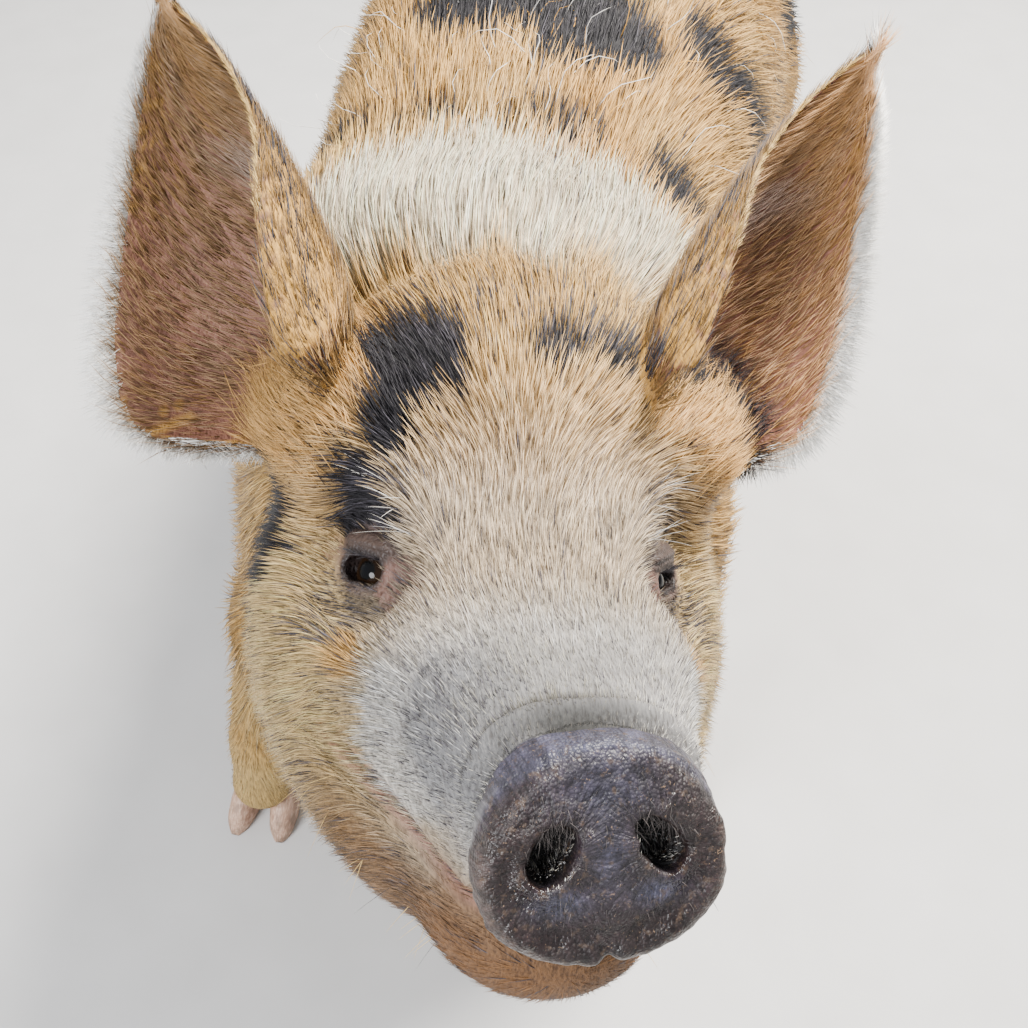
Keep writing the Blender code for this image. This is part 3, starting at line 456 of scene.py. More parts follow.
# Root in the head's frame, tip in the part's frame, the way the cup faces,
# its outer side and its breadth there
EARS = {
    "ear_right": ((-0.088, 0.086, 0.030), (-0.141, -0.388, 0.728), (-0.19, -0.79, 0.50), -1, 1.0),
    "ear_left": ((0.088, 0.086, 0.030), (0.200, -0.320, 0.696), (0.30, -0.80, 0.45), 1, 0.70),
}


def ear_points(root, tip, faces, outward, breadth, along_count, across_count):
    """The cupped sheet of one ear: a grid of points on its back and one on its inner face."""
    root = np.array(HEAD_FRAME @ Vector(root))
    tip = np.asarray(tip, float)
    length = np.linalg.norm(tip - root)
    up = (tip - root) / length
    front = np.asarray(faces, float)
    front = front - up * (front @ up)
    front /= np.linalg.norm(front)
    side = np.cross(front, up)
    side = side if side[0] * outward > 0 else -side
    t = np.linspace(0, 1, along_count) ** 0.9
    s = np.linspace(-1, 1, across_count)
    shapes = [smooth_curve(t, EAR_SHAPE[:, 0], EAR_SHAPE[:, k]) for k in range(1, 5)]
    outer, outer_angle, inner, inner_angle = shapes
    outer_radius = breadth * outer / np.sin(np.radians(outer_angle))
    inner_radius = inner / np.sin(np.radians(np.minimum(inner_angle, 90)))
    angle = np.where(s[None, :] > 0, outer_angle[:, None], inner_angle[:, None]) * s[None, :]
    radius = np.where(s[None, :] > 0, outer_radius[:, None], inner_radius[:, None])
    bend_back = EAR_BEND * np.sin(math.pi * t)
    thick = EAR_THICKNESS * (1 - 0.6 * s[None, :] ** 2) * (1 - 0.55 * t[:, None])
    sheets = []
    for half in (-0.5, 0.5):
        x = (radius - half * thick) * np.sin(np.radians(angle))
        y = radius - (radius - half * thick) * np.cos(np.radians(angle)) + bend_back[:, None]
        sheets.append(root + (t * length)[:, None, None] * up + x[..., None] * side + y[..., None] * front)
    return sheets


TAIL_AXIS = [
    (0.000, 0.370, 0.500), (0.002, 0.402, 0.492), (0.006, 0.424, 0.470), (0.014, 0.434, 0.440),
    (0.024, 0.432, 0.410), (0.030, 0.424, 0.384), (0.028, 0.418, 0.362), (0.020, 0.420, 0.346),
]
TAIL_RADII = [0.020, 0.016, 0.0125, 0.0100, 0.0085, 0.0070, 0.0058, 0.0035]
# Share of the radii that is skin under the coat
TAIL_SKIN_SHARE = 0.72


def tube_rings(axis, radii, sides):
    """Rings of points round a curved axis."""
    axis = np.asarray(axis, float)
    along = np.gradient(axis, axis=0)
    along /= np.linalg.norm(along, axis=1, keepdims=True)
    rings = []
    across = np.cross(along[0], (1.0, 0.0, 0.0))
    for spot, heading, radius in zip(axis, along, radii):
        across = across - heading * (across @ heading)
        across /= np.linalg.norm(across)
        third = np.cross(heading, across)
        turn = 2 * math.pi * np.arange(sides)[:, None] / sides
        rings.append(spot + radius * (np.cos(turn) * across + np.sin(turn) * third))
    return rings


def in_chunks(field, points, size=16000):
    """The field read a chunk at a time on several threads."""
    if len(points) <= size:
        return field(points)
    chunks = np.array_split(points, math.ceil(len(points) / size))
    with ThreadPoolExecutor(4) as pool:
        return np.concatenate(list(pool.map(field, chunks)))


def settled(field, points, rounds):
    """The points moved onto the field's surface, a chunk at a time."""
    return in_chunks(lambda chunk: settle(field, chunk, rounds), points)


def normals_of(field, points):
    """Unit normals of the field."""
    return unit(in_chunks(lambda chunk: slope_of(field, chunk), points))


def cloud(points, size, seed):
    """Smooth noise from -1 to 1 whose lumps are about size across."""
    cell = np.asarray(points) / size
    base = np.floor(cell).astype(np.int64)
    t = cell - base
    t = t * t * (3 - 2 * t)
    total = np.zeros(len(cell))
    for corner in product((0, 1), repeat=3):
        key = base + np.array(corner)
        mixed = (key[:, 0] * 73856093) ^ (key[:, 1] * 19349663) ^ (key[:, 2] * 83492791) ^ (seed * 2654435761)
        mixed = (mixed ^ (mixed >> 13)) * 1274126177
        value = ((mixed ^ (mixed >> 16)) & 0xFFFF) / 32767.5 - 1
        total += value * np.prod(np.where(np.array(corner) == 1, t, 1 - t), axis=1)
    return total


# Middle and radii of the swellings at the root of an ear, in the head's frame
EAR_SWELLINGS = (
    ((0.082, 0.066, 0.056), (0.025, 0.026, 0.026)),
    ((0.100, 0.072, 0.040), (0.023, 0.030, 0.028)),
)


def smooth_skin(points):
    """The skin at the roots of the coat, before its folds, with the swellings that the ears rise from."""
    value = body_field(points) + coat_depth(points)
    folded = mirrored(to_head(points))
    for middle, radii in EAR_SWELLINGS:
        value = blend(value, ball(folded, middle, radii), 0.026)
    return value


def groove(distance, half_width):
    """1 on the line of a groove and 0 away from it."""
    return np.exp(-((distance / half_width) ** 2))


# Turn of the slit in the plane of the eye, and half its height on the pig's right and left side
SLIT_TURN = 0.66
SLIT_HALF_HEIGHTS = (0.0062, 0.0042)
# Where the two hollows that make the slit are along it
SLIT_STEPS = (-0.0052, 0.0034)
# Distance out from the slit, or up from it, depth, and half width of the lines on the lids
LOWER_LID_LINES = ((0.0036, 0.0011, 0.0010), (0.0078, 0.0010, 0.0012), (0.0128, 0.0008, 0.0015))
UPPER_LID_LINES = (
    (0.0098, 0.0011, 0.0009), (0.0142, 0.0009, 0.0010), (0.0190, 0.0016, 0.0014), (0.0122, -0.0046, 0.0052),
)


def nose_place(local):
    """Each point's place on the nose disc: across, behind it and up, and its share of the way out."""
    disc = (local - np.array(NOSE_MIDDLE)) @ np.array(nose_axes())
    narrower = 1 + NOSE_TAPER * disc[:, 2] / NOSE_HALF_HEIGHT
    return disc, np.hypot(disc[:, 0] * narrower / NOSE_HALF_WIDTH, disc[:, 2] / NOSE_HALF_HEIGHT)


def nostril_reach(disc):
    """Where each point is in the frame of the nearer nostril, both sides folded onto one."""
    away = mirrored(disc) - np.array([NOSTRIL_SPREAD, -NOSE_HALF_DEPTH, NOSTRIL_HEIGHT])
    return away @ np.array(Euler((0, -NOSTRIL_LEAN, 0)).to_matrix())


def crease_behind(disc):
    """How far each point is behind the crease that runs over the top of the disc."""
    return disc[:, 1] - 0.0125 - 0.06 * np.abs(disc[:, 0])


def lid_axes():
    """Along the slit towards the nose, the way the eye looks, and up across the slit, as a matrix."""
    along, look, across = eye_axes().T
    cosine, sine = math.cos(SLIT_TURN), math.sin(SLIT_TURN)
    return np.column_stack([cosine * along + sine * across, look, cosine * across - sine * along])


def lid_place(local):
    """Where each point is before the nearer eye: along its slit, above it, and how far it is outside it."""
    along, _, above = ((mirrored(local) - np.array(EYE_PLACE)) @ lid_axes()).T
    half = np.where(local[:, 0] < 0, *SLIT_HALF_HEIGHTS)
    beyond = np.maximum(np.abs(along + 0.001) - 0.0055, 0)
    return along, above, np.hypot(beyond, above) - half


def bare_reach(along, above):
    """Less than 1 on the bare skin of the lids."""
    return np.hypot(along / 0.0150, (above - 0.005) / 0.0125)


def lid_folds(local):
    """Wrinkles under each eye, folds of the upper lid, and the ridge at the slit's corner."""
    along, above, out = lid_place(local)
    near_eye = 1 - rise(eye_distance(local), 0.028, 0.042)
    lid = 1 - rise(np.abs(along + 0.001), 0.011, 0.020)
    below = rise(-above, -0.001, 0.005)
    lines = 0.0005 * np.cos(26 * np.arctan2(above, along) + 9 * out / 0.01) * rise(out, 0.001, 0.005)
    for place, depth, half_width in LOWER_LID_LINES:
        lines = lines + depth * groove(out - place, half_width)
    upper = sum(depth * groove(above - place, half_width) for place, depth, half_width in UPPER_LID_LINES)
    ridge = 0.0020 * groove(along - 0.0150, 0.0036) * groove(above + 0.001, 0.011)
    return near_eye * (lines * below + upper * lid - ridge)


def disc_folds(local, disc, outer):
    """The dished face of the nose disc, its lumps and the notch at its foot."""
    dish = 0.0022 * groove(outer - 0.72, 0.15) * (1 - rise(disc[:, 2], 0.000, 0.016))
    dish = dish - 0.0018 * groove(disc[:, 0], 0.007) * (disc[:, 2] < 0.02)
    on_face = (outer < 1.1) & (disc[:, 1] < 0)
    dish = np.where(on_face, dish * (1 - rise(outer, 0.80, 1.0)), 0)
    lumps = 0.0008 * cloud(local, 0.0090, 51) + 0.0005 * cloud(local, 0.0038, 52)
    lumps = lumps * (1 - rise(outer, 1.05, 1.25)) * (disc[:, 1] < 0.012)
    notch = groove(disc[:, 0], 0.0032) * rise(-disc[:, 2], 0.024, 0.040) * (disc[:, 1] < 0.006)
    return dish + lumps + 0.0045 * notch


def muzzle_folds(local, disc):
    """The creases and rolls behind the nose disc, and the lips."""
    behind = crease_behind(disc)
    above = rise(disc[:, 2], 0.004, 0.030)
    creases = 0.0062 * groove(behind, 0.0024) * above - 0.0032 * groove(behind - 0.0080, 0.0050) * above
    second = groove(behind - 0.0170 + 0.12 * np.abs(disc[:, 0]), 0.0030)
    creases = creases + 0.0018 * second * rise(disc[:, 2], 0.0, 0.03)
    from_mouth = local[:, 2] - mouth_level(local)
    mouth = groove(from_mouth, 0.0018) * rise(-local[:, 1], 0.034, 0.046) * (disc[:, 1] > 0.004)
    lip = groove(from_mouth - 0.006, 0.0045) + groove(from_mouth + 0.006, 0.0045)
    lip = lip * rise(-local[:, 1], 0.034, 0.060) * (disc[:, 1] > 0.006)
    return creases + 0.0040 * mouth - 0.0014 * lip


def face_folds(local, value):
    """Nostrils, eye slits, lid folds, lips and the wrinkles behind the nose disc."""
    value = value + lid_folds(local)
    folded = mirrored(local)
    axes = lid_axes()
    for step in SLIT_STEPS:
        middle = np.array(EYE_PLACE) + axes @ np.array([step, 0.0145, -0.0003])
        right, left = (ball(folded, middle, (0.0074, 0.0112, height), axes) for height in SLIT_HALF_HEIGHTS)
        value = carve(value, np.where(local[:, 0] < 0, right, left), 0.0020)
    disc, outer = nose_place(local)
    hole = nostril_reach(disc)
    value = blend(value, ball(hole, (0.001, 0.002, 0.001), (0.0130, 0.0052, 0.0180)), 0.006)
    value = carve(value, ball(hole, (0, 0.001, 0), (0.0078, 0.0190, 0.0125)), 0.004)
    return value + disc_folds(local, disc, outer) + muzzle_folds(local, disc)


def skin_field(points):
    """The skin with its folds."""
    value = smooth_skin(points)
    local = to_head(points)
    behind_nape = points[:, 1] + 0.302 + 2.5 * points[:, 0] ** 2
    value = value + 0.0050 * groove(behind_nape, 0.011) * rise(points[:, 2], 0.50, 0.58)
    side = np.abs(points[:, 0])
    behind_shoulder = points[:, 1] + 0.250 - 0.35 * (points[:, 2] - 0.30)
    fold = groove(behind_shoulder, 0.010) * rise(side, 0.09, 0.14) * rise(-points[:, 2], -0.46, -0.38)
    value = value + 0.0040 * fold
    near = (local[:, 1] < 0.045) & (value < 0.02)
    if near.any():
        value[near] = face_folds(local[near], value[near])
    return value


def finer(values, axis, times):
    """Values of a grid made times finer along one axis by straight lines."""
    values = np.moveaxis(values, axis, 0)
    share = (np.arange(times) / times)[None, :].reshape(1, times, 1, 1)
    steps = values[:-1, None] * (1 - share) + values[1:, None] * share
    steps = steps.reshape(-1, *values.shape[1:])
    return np.moveaxis(np.concatenate([steps, values[-1:]]), 0, axis)


def surface_net(field, low, high, step, coarse=4, near=0.035):
    """Points and quads of the surface where the field is zero. It is read exactly only near the surface."""
    low = np.asarray(low, float)
    cells = np.ceil((np.asarray(high, float) - low) / (step * coarse)).astype(int)
    marks = [low[k] + step * coarse * np.arange(cells[k] + 1) for k in range(3)]
    grid = np.stack(np.meshgrid(*marks, indexing="ij"), -1)
    value = in_chunks(field, grid.reshape(-1, 3)).reshape(cells + 1)
    for axis in range(3):
        value = finer(value, axis, coarse)
    close = np.argwhere(np.abs(value) < near)
    value[tuple(close.T)] = in_chunks(field, low + step * close)
    counts = np.array(value.shape)
    inside = value < 0
    total = np.zeros((*counts, 3))
    number = np.zeros(counts, int)
    crossings = []
    for axis in range(3):
        others = [k for k in range(3) if k != axis]
        here = [slice(0, -1) if k == axis else slice(1, -1) for k in range(3)]
        there = [slice(1, None) if k == axis else slice(1, -1) for k in range(3)]
        crossed = inside[tuple(here)] != inside[tuple(there)]
        index = np.argwhere(crossed) + np.array([0 if k == axis else 1 for k in range(3)])
        ahead = index + np.eye(3, dtype=int)[axis]
        first = value[tuple(index.T)]
        second = value[tuple(ahead.T)]
        share = (first / (first - second))[:, None]
        spot = low + step * (index + share * np.eye(3)[axis])
        around = []
        for u, v in ((0, 0), (1, 0), (1, 1), (0, 1)):
            cell = index.copy()
            cell[:, others[0]] -= u
            cell[:, others[1]] -= v
            around.append(cell)
            np.add.at(total, tuple(cell.T), spot)
            np.add.at(number, tuple(cell.T), 1)
        crossings.append((axis, inside[tuple(index.T)], around))
    used = number > 0
    name = np.full(counts, -1)
    name[used] = np.arange(used.sum())
    points = total[used] / number[used][:, None]
    quads = []
    for axis, starts_inside, around in crossings:
        quad = np.column_stack([name[tuple(cell.T)] for cell in around])
        turned = starts_inside if axis != 1 else ~starts_inside
        quads.append(np.where(turned[:, None], quad, quad[:, ::-1]))
    return points, np.vstack(quads)


def mesh_from(name, points, triangles, smooth=True):
    """A mesh of these points and triangles, or quads."""
    points = np.asarray(points, np.float32)
    triangles = np.asarray(triangles, np.int32)
    sides = triangles.shape[1]
    mesh = bpy.data.meshes.new(name)
    mesh.vertices.add(len(points))
    mesh.vertices.foreach_set("co", points.ravel())
    mesh.loops.add(triangles.size)
    mesh.loops.foreach_set("vertex_index", triangles.ravel())
    mesh.polygons.add(len(triangles))
    mesh.polygons.foreach_set("loop_start", np.arange(0, triangles.size, sides, dtype=np.int32))
    mesh.update(calc_edges=True)
    mesh.polygons.foreach_set("use_smooth", np.full(len(triangles), smooth))
    return mesh


def shown(name, mesh):
    """An object in the scene that holds the mesh."""
    made = bpy.data.objects.new(name, mesh)
    bpy.context.scene.collection.objects.link(made)
    return made


def arrays_of(mesh):
    """Points and triangles of a mesh."""
    points = np.empty(len(mesh.vertices) * 3, np.float32)
    mesh.vertices.foreach_get("co", points)
    mesh.calc_loop_triangles()
    triangles = np.empty(len(mesh.loop_triangles) * 3, np.int32)
    mesh.loop_triangles.foreach_get("vertices", triangles)
    return points.reshape(-1, 3).astype(float), triangles.reshape(-1, 3)


def halves(points, triangles, chosen):
    """Splits each edge of the chosen triangles in two, and fits the triangles beside them."""
    sides = [triangles[:, [0, 1]], triangles[:, [1, 2]], triangles[:, [2, 0]]]
    edges = np.sort(np.concatenate(sides), axis=1)
    unique, index = np.unique(edges, axis=0, return_inverse=True)
    index = index.reshape(3, -1).T
    split = np.zeros(len(unique), bool)
    split[index[chosen].ravel()] = True
    number = np.cumsum(split) - 1 + len(points)
    middle = (points[unique[split, 0]] + points[unique[split, 1]]) / 2
    cut = split[index]
    made = [triangles[~cut.any(1)]]
    for pattern in product((False, True), repeat=3):
        rows = (cut == np.array(pattern)).all(1)
        if not any(pattern) or not rows.any():
            continue
        a, b, c = triangles[rows].T
        ab, bc, ca = number[index[rows]].T
        if all(pattern):
            new = ((a, ab, ca), (ab, b, bc), (ca, bc, c), (ab, bc, ca))
        elif sum(pattern) == 1:
            turn = pattern.index(True)
            p, q, r = [(a, b, c), (b, c, a), (c, a, b)][turn]
            mid = (ab, bc, ca)[turn]
            new = ((p, mid, r), (mid, q, r))
        else:
            turn = pattern.index(False)
            p, q, r = [(a, b, c), (b, c, a), (c, a, b)][turn]
            qr, rp = [(bc, ca), (ca, ab), (ab, bc)][turn]
            new = ((qr, r, rp), (p, q, qr), (p, qr, rp))
        made += [np.column_stack(triangle) for triangle in new]
    return np.vstack([points, middle]), np.vstack(made)


def relaxed(points, triangles, moving, share, rounds):
    """The moving points drawn towards the middle of their neighbours."""
    starts, ends = np.concatenate([triangles[:, [0, 1]], triangles[:, [1, 2]], triangles[:, [2, 0]]]).T
    count = np.maximum(np.bincount(starts, minlength=len(points)), 1)[:, None]
    for _ in range(rounds):
        total = np.column_stack([np.bincount(starts, points[ends, k], len(points)) for k in range(3)])
        points = np.where(moving[:, None], points * (1 - share) + share * total / count, points)
    return points


# How far back in the head's frame each halving of the mesh reaches, and the finest spots
FACE_REACH = (0.125, 0.045)
FINE_SPOTS = ((EYE_PLACE, 0.034), ((0.0, -0.165, 0.000), 0.062))
HEAD_REACH = 0.26
# The box that holds the skin, and the spacing of the grid it is found on
SKIN_BOX = ((-0.33, -0.82, -0.02), (0.33, 0.46, 0.80))
SKIN_STEP = 0.0070
# Points this near the body's field are its own, and this many rows beside them are smoothed this often
OWN_REACH = 0.0004
SEAM_ROWS = 5
SEAM_ROUNDS = 40


def body_skin():
    """Points and triangles of the skin without ears and tail, finest round the eyes and nose."""
    points, quads = surface_net(skin_field, *SKIN_BOX, SKIN_STEP)
    triangles = halved(quads)
    points = settled(skin_field, points, 2)
    points = relaxed(points, triangles, np.ones(len(points), bool), 0.5, 1)
    points = settled(skin_field, points, 2)
    for level in range(3):
        middle = to_head(points[triangles].mean(1))
        if level < len(FACE_REACH):
            chosen = (middle[:, 1] < FACE_REACH[level]) & (np.linalg.norm(middle, axis=1) < HEAD_REACH)
        else:
            folded = mirrored(middle)
            chosen = np.zeros(len(middle), bool)
            for place, reach in FINE_SPOTS:
                chosen |= np.linalg.norm(folded - np.array(place), axis=1) < reach
        known = len(points)
        points, triangles = halves(points, triangles, chosen)
        moving = np.zeros(len(points), bool)
        moving[triangles[np.isin(triangles, np.arange(known, len(points))).any(1)]] = True
        points = relaxed(points, triangles, moving, 0.5, 1)
        points[moving] = settled(skin_field, points[moving], 3)
    return points, triangles


def halved(quads):
    """Each quad as two triangles."""
    return np.vstack([quads[:, [0, 1, 2]], quads[:, [0, 2, 3]]])


def ring_quads(rows, columns):
    """Quads between closed rings of points that follow each other."""
    i, j = np.meshgrid(np.arange(rows - 1), np.arange(columns), indexing="ij")
    a, b = (i * columns + j).ravel(), (i * columns + (j + 1) % columns).ravel()
    return np.column_stack([a, b, b + columns, a + columns])


def capped_tube(rings):
    """Points and triangles of a tube through rings of points, closed at both ends."""
    rows, columns = rings.shape[:2]
    points = np.vstack([rings.reshape(-1, 3), rings[0].mean(0), rings[-1].mean(0)])
    ring = np.arange(columns)
    last = (rows - 1) * columns
    near_cap = np.column_stack([np.roll(ring, -1), ring, np.full(columns, len(points) - 2)])
    far_cap = np.column_stack([last + ring, last + np.roll(ring, -1), np.full(columns, len(points) - 1)])
    return points, np.vstack([halved(ring_quads(rows, columns)), near_cap, far_cap])


def closed_sheet(front, back):
    """Points and triangles of a closed shell between two grids of points with the same margin order."""
    rows, columns = front.shape[:2]
    points = np.vstack([front.reshape(-1, 3), back.reshape(-1, 3)])
    half = rows * columns
    i, j = np.meshgrid(np.arange(rows - 1), np.arange(columns - 1), indexing="ij")
    a = (i * columns + j).ravel()
    near = np.column_stack([a, a + 1, a + columns + 1, a + columns])
    rim = [r * columns for r in range(rows)]
    rim += [(rows - 1) * columns + c for c in range(1, columns)]
    rim += [r * columns + columns - 1 for r in range(rows - 2, -1, -1)]
    rim += list(range(columns - 2, 0, -1))
    rim = np.array(rim)
    following = np.roll(rim, -1)
    side = np.column_stack([rim, following, half + following, half + rim])
    return points, halved(np.vstack([near, near[:, ::-1] + half, side]))


def facing_out(points, triangles):
    """The triangles, turned if the closed surface is inside out."""
    corners = points[triangles]
    volume = np.einsum("ij,ij->i", corners[:, 0], np.cross(corners[:, 1], corners[:, 2])).sum()
    return triangles if volume > 0 else triangles[:, ::-1]


EAR_SKIN_THICKNESS = 0.0030


def ear_grids(name, rows, columns):
    """The back and the inner face of an ear's skin as grids of points."""
    back, inner = ear_points(*EARS[name], rows, columns)
    middle = (back + inner) / 2
    share = EAR_SKIN_THICKNESS / EAR_THICKNESS
    return middle + share * (back - middle), middle + share * (inner - middle)


def joined_by_union(first, other):
    """The two closed meshes united."""
    base = shown("base", first)
    tool = shown("tool", other)
    step = base.modifiers.new("union", "BOOLEAN")
    step.operation = "UNION"
    step.solver = "MANIFOLD"
    step.object = tool
    bpy.context.view_layer.update()
    result = bpy.data.meshes.new_from_object(base.evaluated_get(bpy.context.evaluated_depsgraph_get()))
    bpy.data.objects.remove(base)
    bpy.data.objects.remove(tool)
    return result


def tail_grid(rows=70, columns=20):
    """Rings of points round the tail."""
    share = np.linspace(0, 1, len(TAIL_RADII))
    fine = np.linspace(0, 1, rows)
    axis = np.column_stack([smooth_curve(fine, share, np.array(TAIL_AXIS)[:, k]) for k in range(3)])
    radii = smooth_curve(fine, share, np.array(TAIL_RADII)) * TAIL_SKIN_SHARE
    return np.array(tube_rings(axis, radii, columns))


def whole_skin():
    """Points and triangles of the skin with ears and tail, and which points are the body's own."""
    points, triangles = body_skin()
    mesh = mesh_from("skin", points, facing_out(points, triangles))
    pieces = [closed_sheet(*ear_grids(name, 64, 48)) for name in EARS]
    for points, triangles in [*pieces, capped_tube(tail_grid())]:
        mesh = joined_by_union(mesh, mesh_from("piece", points, facing_out(points, triangles)))
    points, triangles = arrays_of(mesh)
    own = np.abs(in_chunks(skin_field, points)) < OWN_REACH
    mixed = own[triangles].any(1) & ~own[triangles].all(1)
    seam = np.zeros(len(points), bool)
    seam[triangles[mixed]] = True
    for _ in range(SEAM_ROWS):
        touched = seam[triangles].any(1)
        seam[triangles[touched]] = True
    return relaxed(points, triangles, seam, 0.6, SEAM_ROUNDS), triangles, own


# Colours of hair and skin, as light reflected in red, green and blue
GOLD = np.array([0.69, 0.35, 0.050])
AMBER = np.array([0.66, 0.34, 0.055])
CREAM = np.array([0.88, 0.595, 0.215])
ASH = np.array([0.70, 0.57, 0.41])
SILVER = np.array([0.74, 0.71, 0.66])
SLATE = np.array([0.30, 0.31, 0.33])
# The nape's pale cream, partly the hair's own colour and partly painted sunlight
NAPE = np.array([0.97, 0.81, 0.58])
WHITE = np.array([0.95, 0.91, 0.84])
BLACK = np.array([0.011, 0.010, 0.012])
ORANGE = np.array([0.30, 0.135, 0.044])
# A dusky brown-grey for the sooty patches by the eyes, used darker as painted shade in the crease over the
# nose disc
DUSKY = np.array([0.085, 0.072, 0.062])
# Painted shade over the crease behind the nose disc
CREASE_SHADE = np.array([0.200, 0.190, 0.145])
SNOUT_TOP_GREY = np.array([0.30, 0.285, 0.215])
PINK = np.array([0.23, 0.105, 0.070])
BARE = np.array([0.085, 0.054, 0.045])
NOSE = np.array([0.018, 0.011, 0.011])
# Blue-grey of the nose, partly its own colour and partly painted reflection of the sky
NOSE_BLUE_AND_SHEEN = np.array([0.048, 0.050, 0.078])
NOSE_RIM_TONE = np.array([0.085, 0.060, 0.048])
MUZZLE_SKIN = np.array([0.17, 0.17, 0.18])
DEEP_PINK = np.array([0.20, 0.085, 0.055])
FLUSHED = np.array([0.17, 0.085, 0.062])
HOOD = np.array([0.036, 0.024, 0.019])
LID_RIM = np.array([0.014, 0.009, 0.008])
LIPS = np.array([0.24, 0.105, 0.085])
# Painted shade for the skin in the crease over the nose disc
ROLL_SHADE = np.array([0.022, 0.022, 0.018])
STUBBLE = np.array([0.045, 0.038, 0.036])
# Share of its colour that a pale hair has at its root, low partly because tips are paler and partly as
# painted shade deep in the coat, and the palest that a tip may be
ROOT_SHARE = 0.28
PALEST = 0.95

# Patches as middle, radii and strength, on the head in its own frame
HEAD_BLACK = [
    ((-0.052, 0.045, 0.084), (0.024, 0.023, 0.024), 1.0),
    ((-0.064, 0.030, 0.060), (0.014, 0.014, 0.018), 1.0),
    ((-0.078, 0.024, 0.034), (0.012, 0.013, 0.018), 1.0),
    ((-0.081, 0.021, 0.016), (0.011, 0.011, 0.012), 1.0),
    ((-0.073, 0.012, 0.024), (0.012, 0.012, 0.012), 1.0),
    ((-0.066, 0.001, 0.026), (0.009, 0.010, 0.010), 0.8),
    ((0.012, 0.041, 0.100), (0.016, 0.010, 0.012), 0.80),
    ((0.045, 0.047, 0.096), (0.018, 0.011, 0.012), 0.9),
    ((0.074, 0.056, 0.086), (0.022, 0.013, 0.016), 0.9),
    ((0.104, 0.080, 0.066), (0.022, 0.032, 0.024), 1.0),
    ((0.114, 0.074, 0.040), (0.024, 0.028, 0.026), 1.0),
    ((-0.120, 0.048, -0.012), (0.020, 0.024, 0.034), 1.0),
    ((-0.122, 0.058, -0.070), (0.024, 0.026, 0.044), 1.0),
    ((-0.112, 0.055, -0.125), (0.028, 0.028, 0.040), 1.0),
]
# On the body in its frame
BODY_BLACK = [
    ((-0.115, -0.262, 0.572), (0.040, 0.014, 0.026), 0.8),
    ((-0.050, -0.280, 0.606), (0.040, 0.012, 0.020), 0.7),
    ((0.035, -0.274, 0.612), (0.040, 0.012, 0.020), 0.8),
    ((-0.030, -0.150, 0.620), (0.052, 0.048, 0.050), 1.0),
    ((0.040, -0.165, 0.620), (0.052, 0.056, 0.050), 1.0),
    ((0.020, -0.060, 0.630), (0.062, 0.050, 0.050), 1.0),
    ((0.110, -0.280, 0.581), (0.026, 0.026, 0.034), 1.0),
    ((0.122, -0.115, 0.580), (0.028, 0.034, 0.034), 0.9),
    ((0.155, -0.085, 0.520), (0.028, 0.030, 0.044), 1.0),
    ((0.030, 0.100, 0.630), (0.050, 0.052, 0.050), 1.0),
    ((-0.100, 0.060, 0.585), (0.040, 0.060, 0.046), 1.0),
    ((-0.190, -0.030, 0.440), (0.060, 0.055, 0.070), 1.0),
    ((-0.195, 0.110, 0.340), (0.060, 0.045, 0.055), 1.0),
    ((-0.150, 0.240, 0.470), (0.060, 0.055, 0.060), 1.0),
    ((0.190, 0.060, 0.400), (0.060, 0.050, 0.062), 1.0),
    ((0.175, 0.200, 0.480), (0.060, 0.055, 0.050), 1.0),
    ((0.195, -0.170, 0.350), (0.060, 0.045, 0.050), 1.0),
    ((0.050, 0.330, 0.470), (0.045, 0.050, 0.050), 1.0),
    ((-0.170, 0.220, 0.260), (0.050, 0.048, 0.048), 1.0),
    ((0.140, 0.260, 0.250), (0.050, 0.038, 0.050), 1.0),
    ((-0.150, -0.350, 0.330), (0.050, 0.045, 0.055), 1.0),
    ((0.190, -0.330, 0.460), (0.040, 0.040, 0.045), 0.9),
]


def patch(points, middle, radii, ragged):
    """1 inside an ellipsoid and 0 outside it, with a ragged edge."""
    reach = np.linalg.norm((points - np.array(middle)) / np.array(radii), axis=1)
    return rise(-(reach + ragged), -1.18, -0.82)


def toned(colours, share, tone):
    """The colours mixed towards a tone by a share at each point."""
    share = np.asarray(share)[:, None]
    return colours * (1 - share) + tone * share


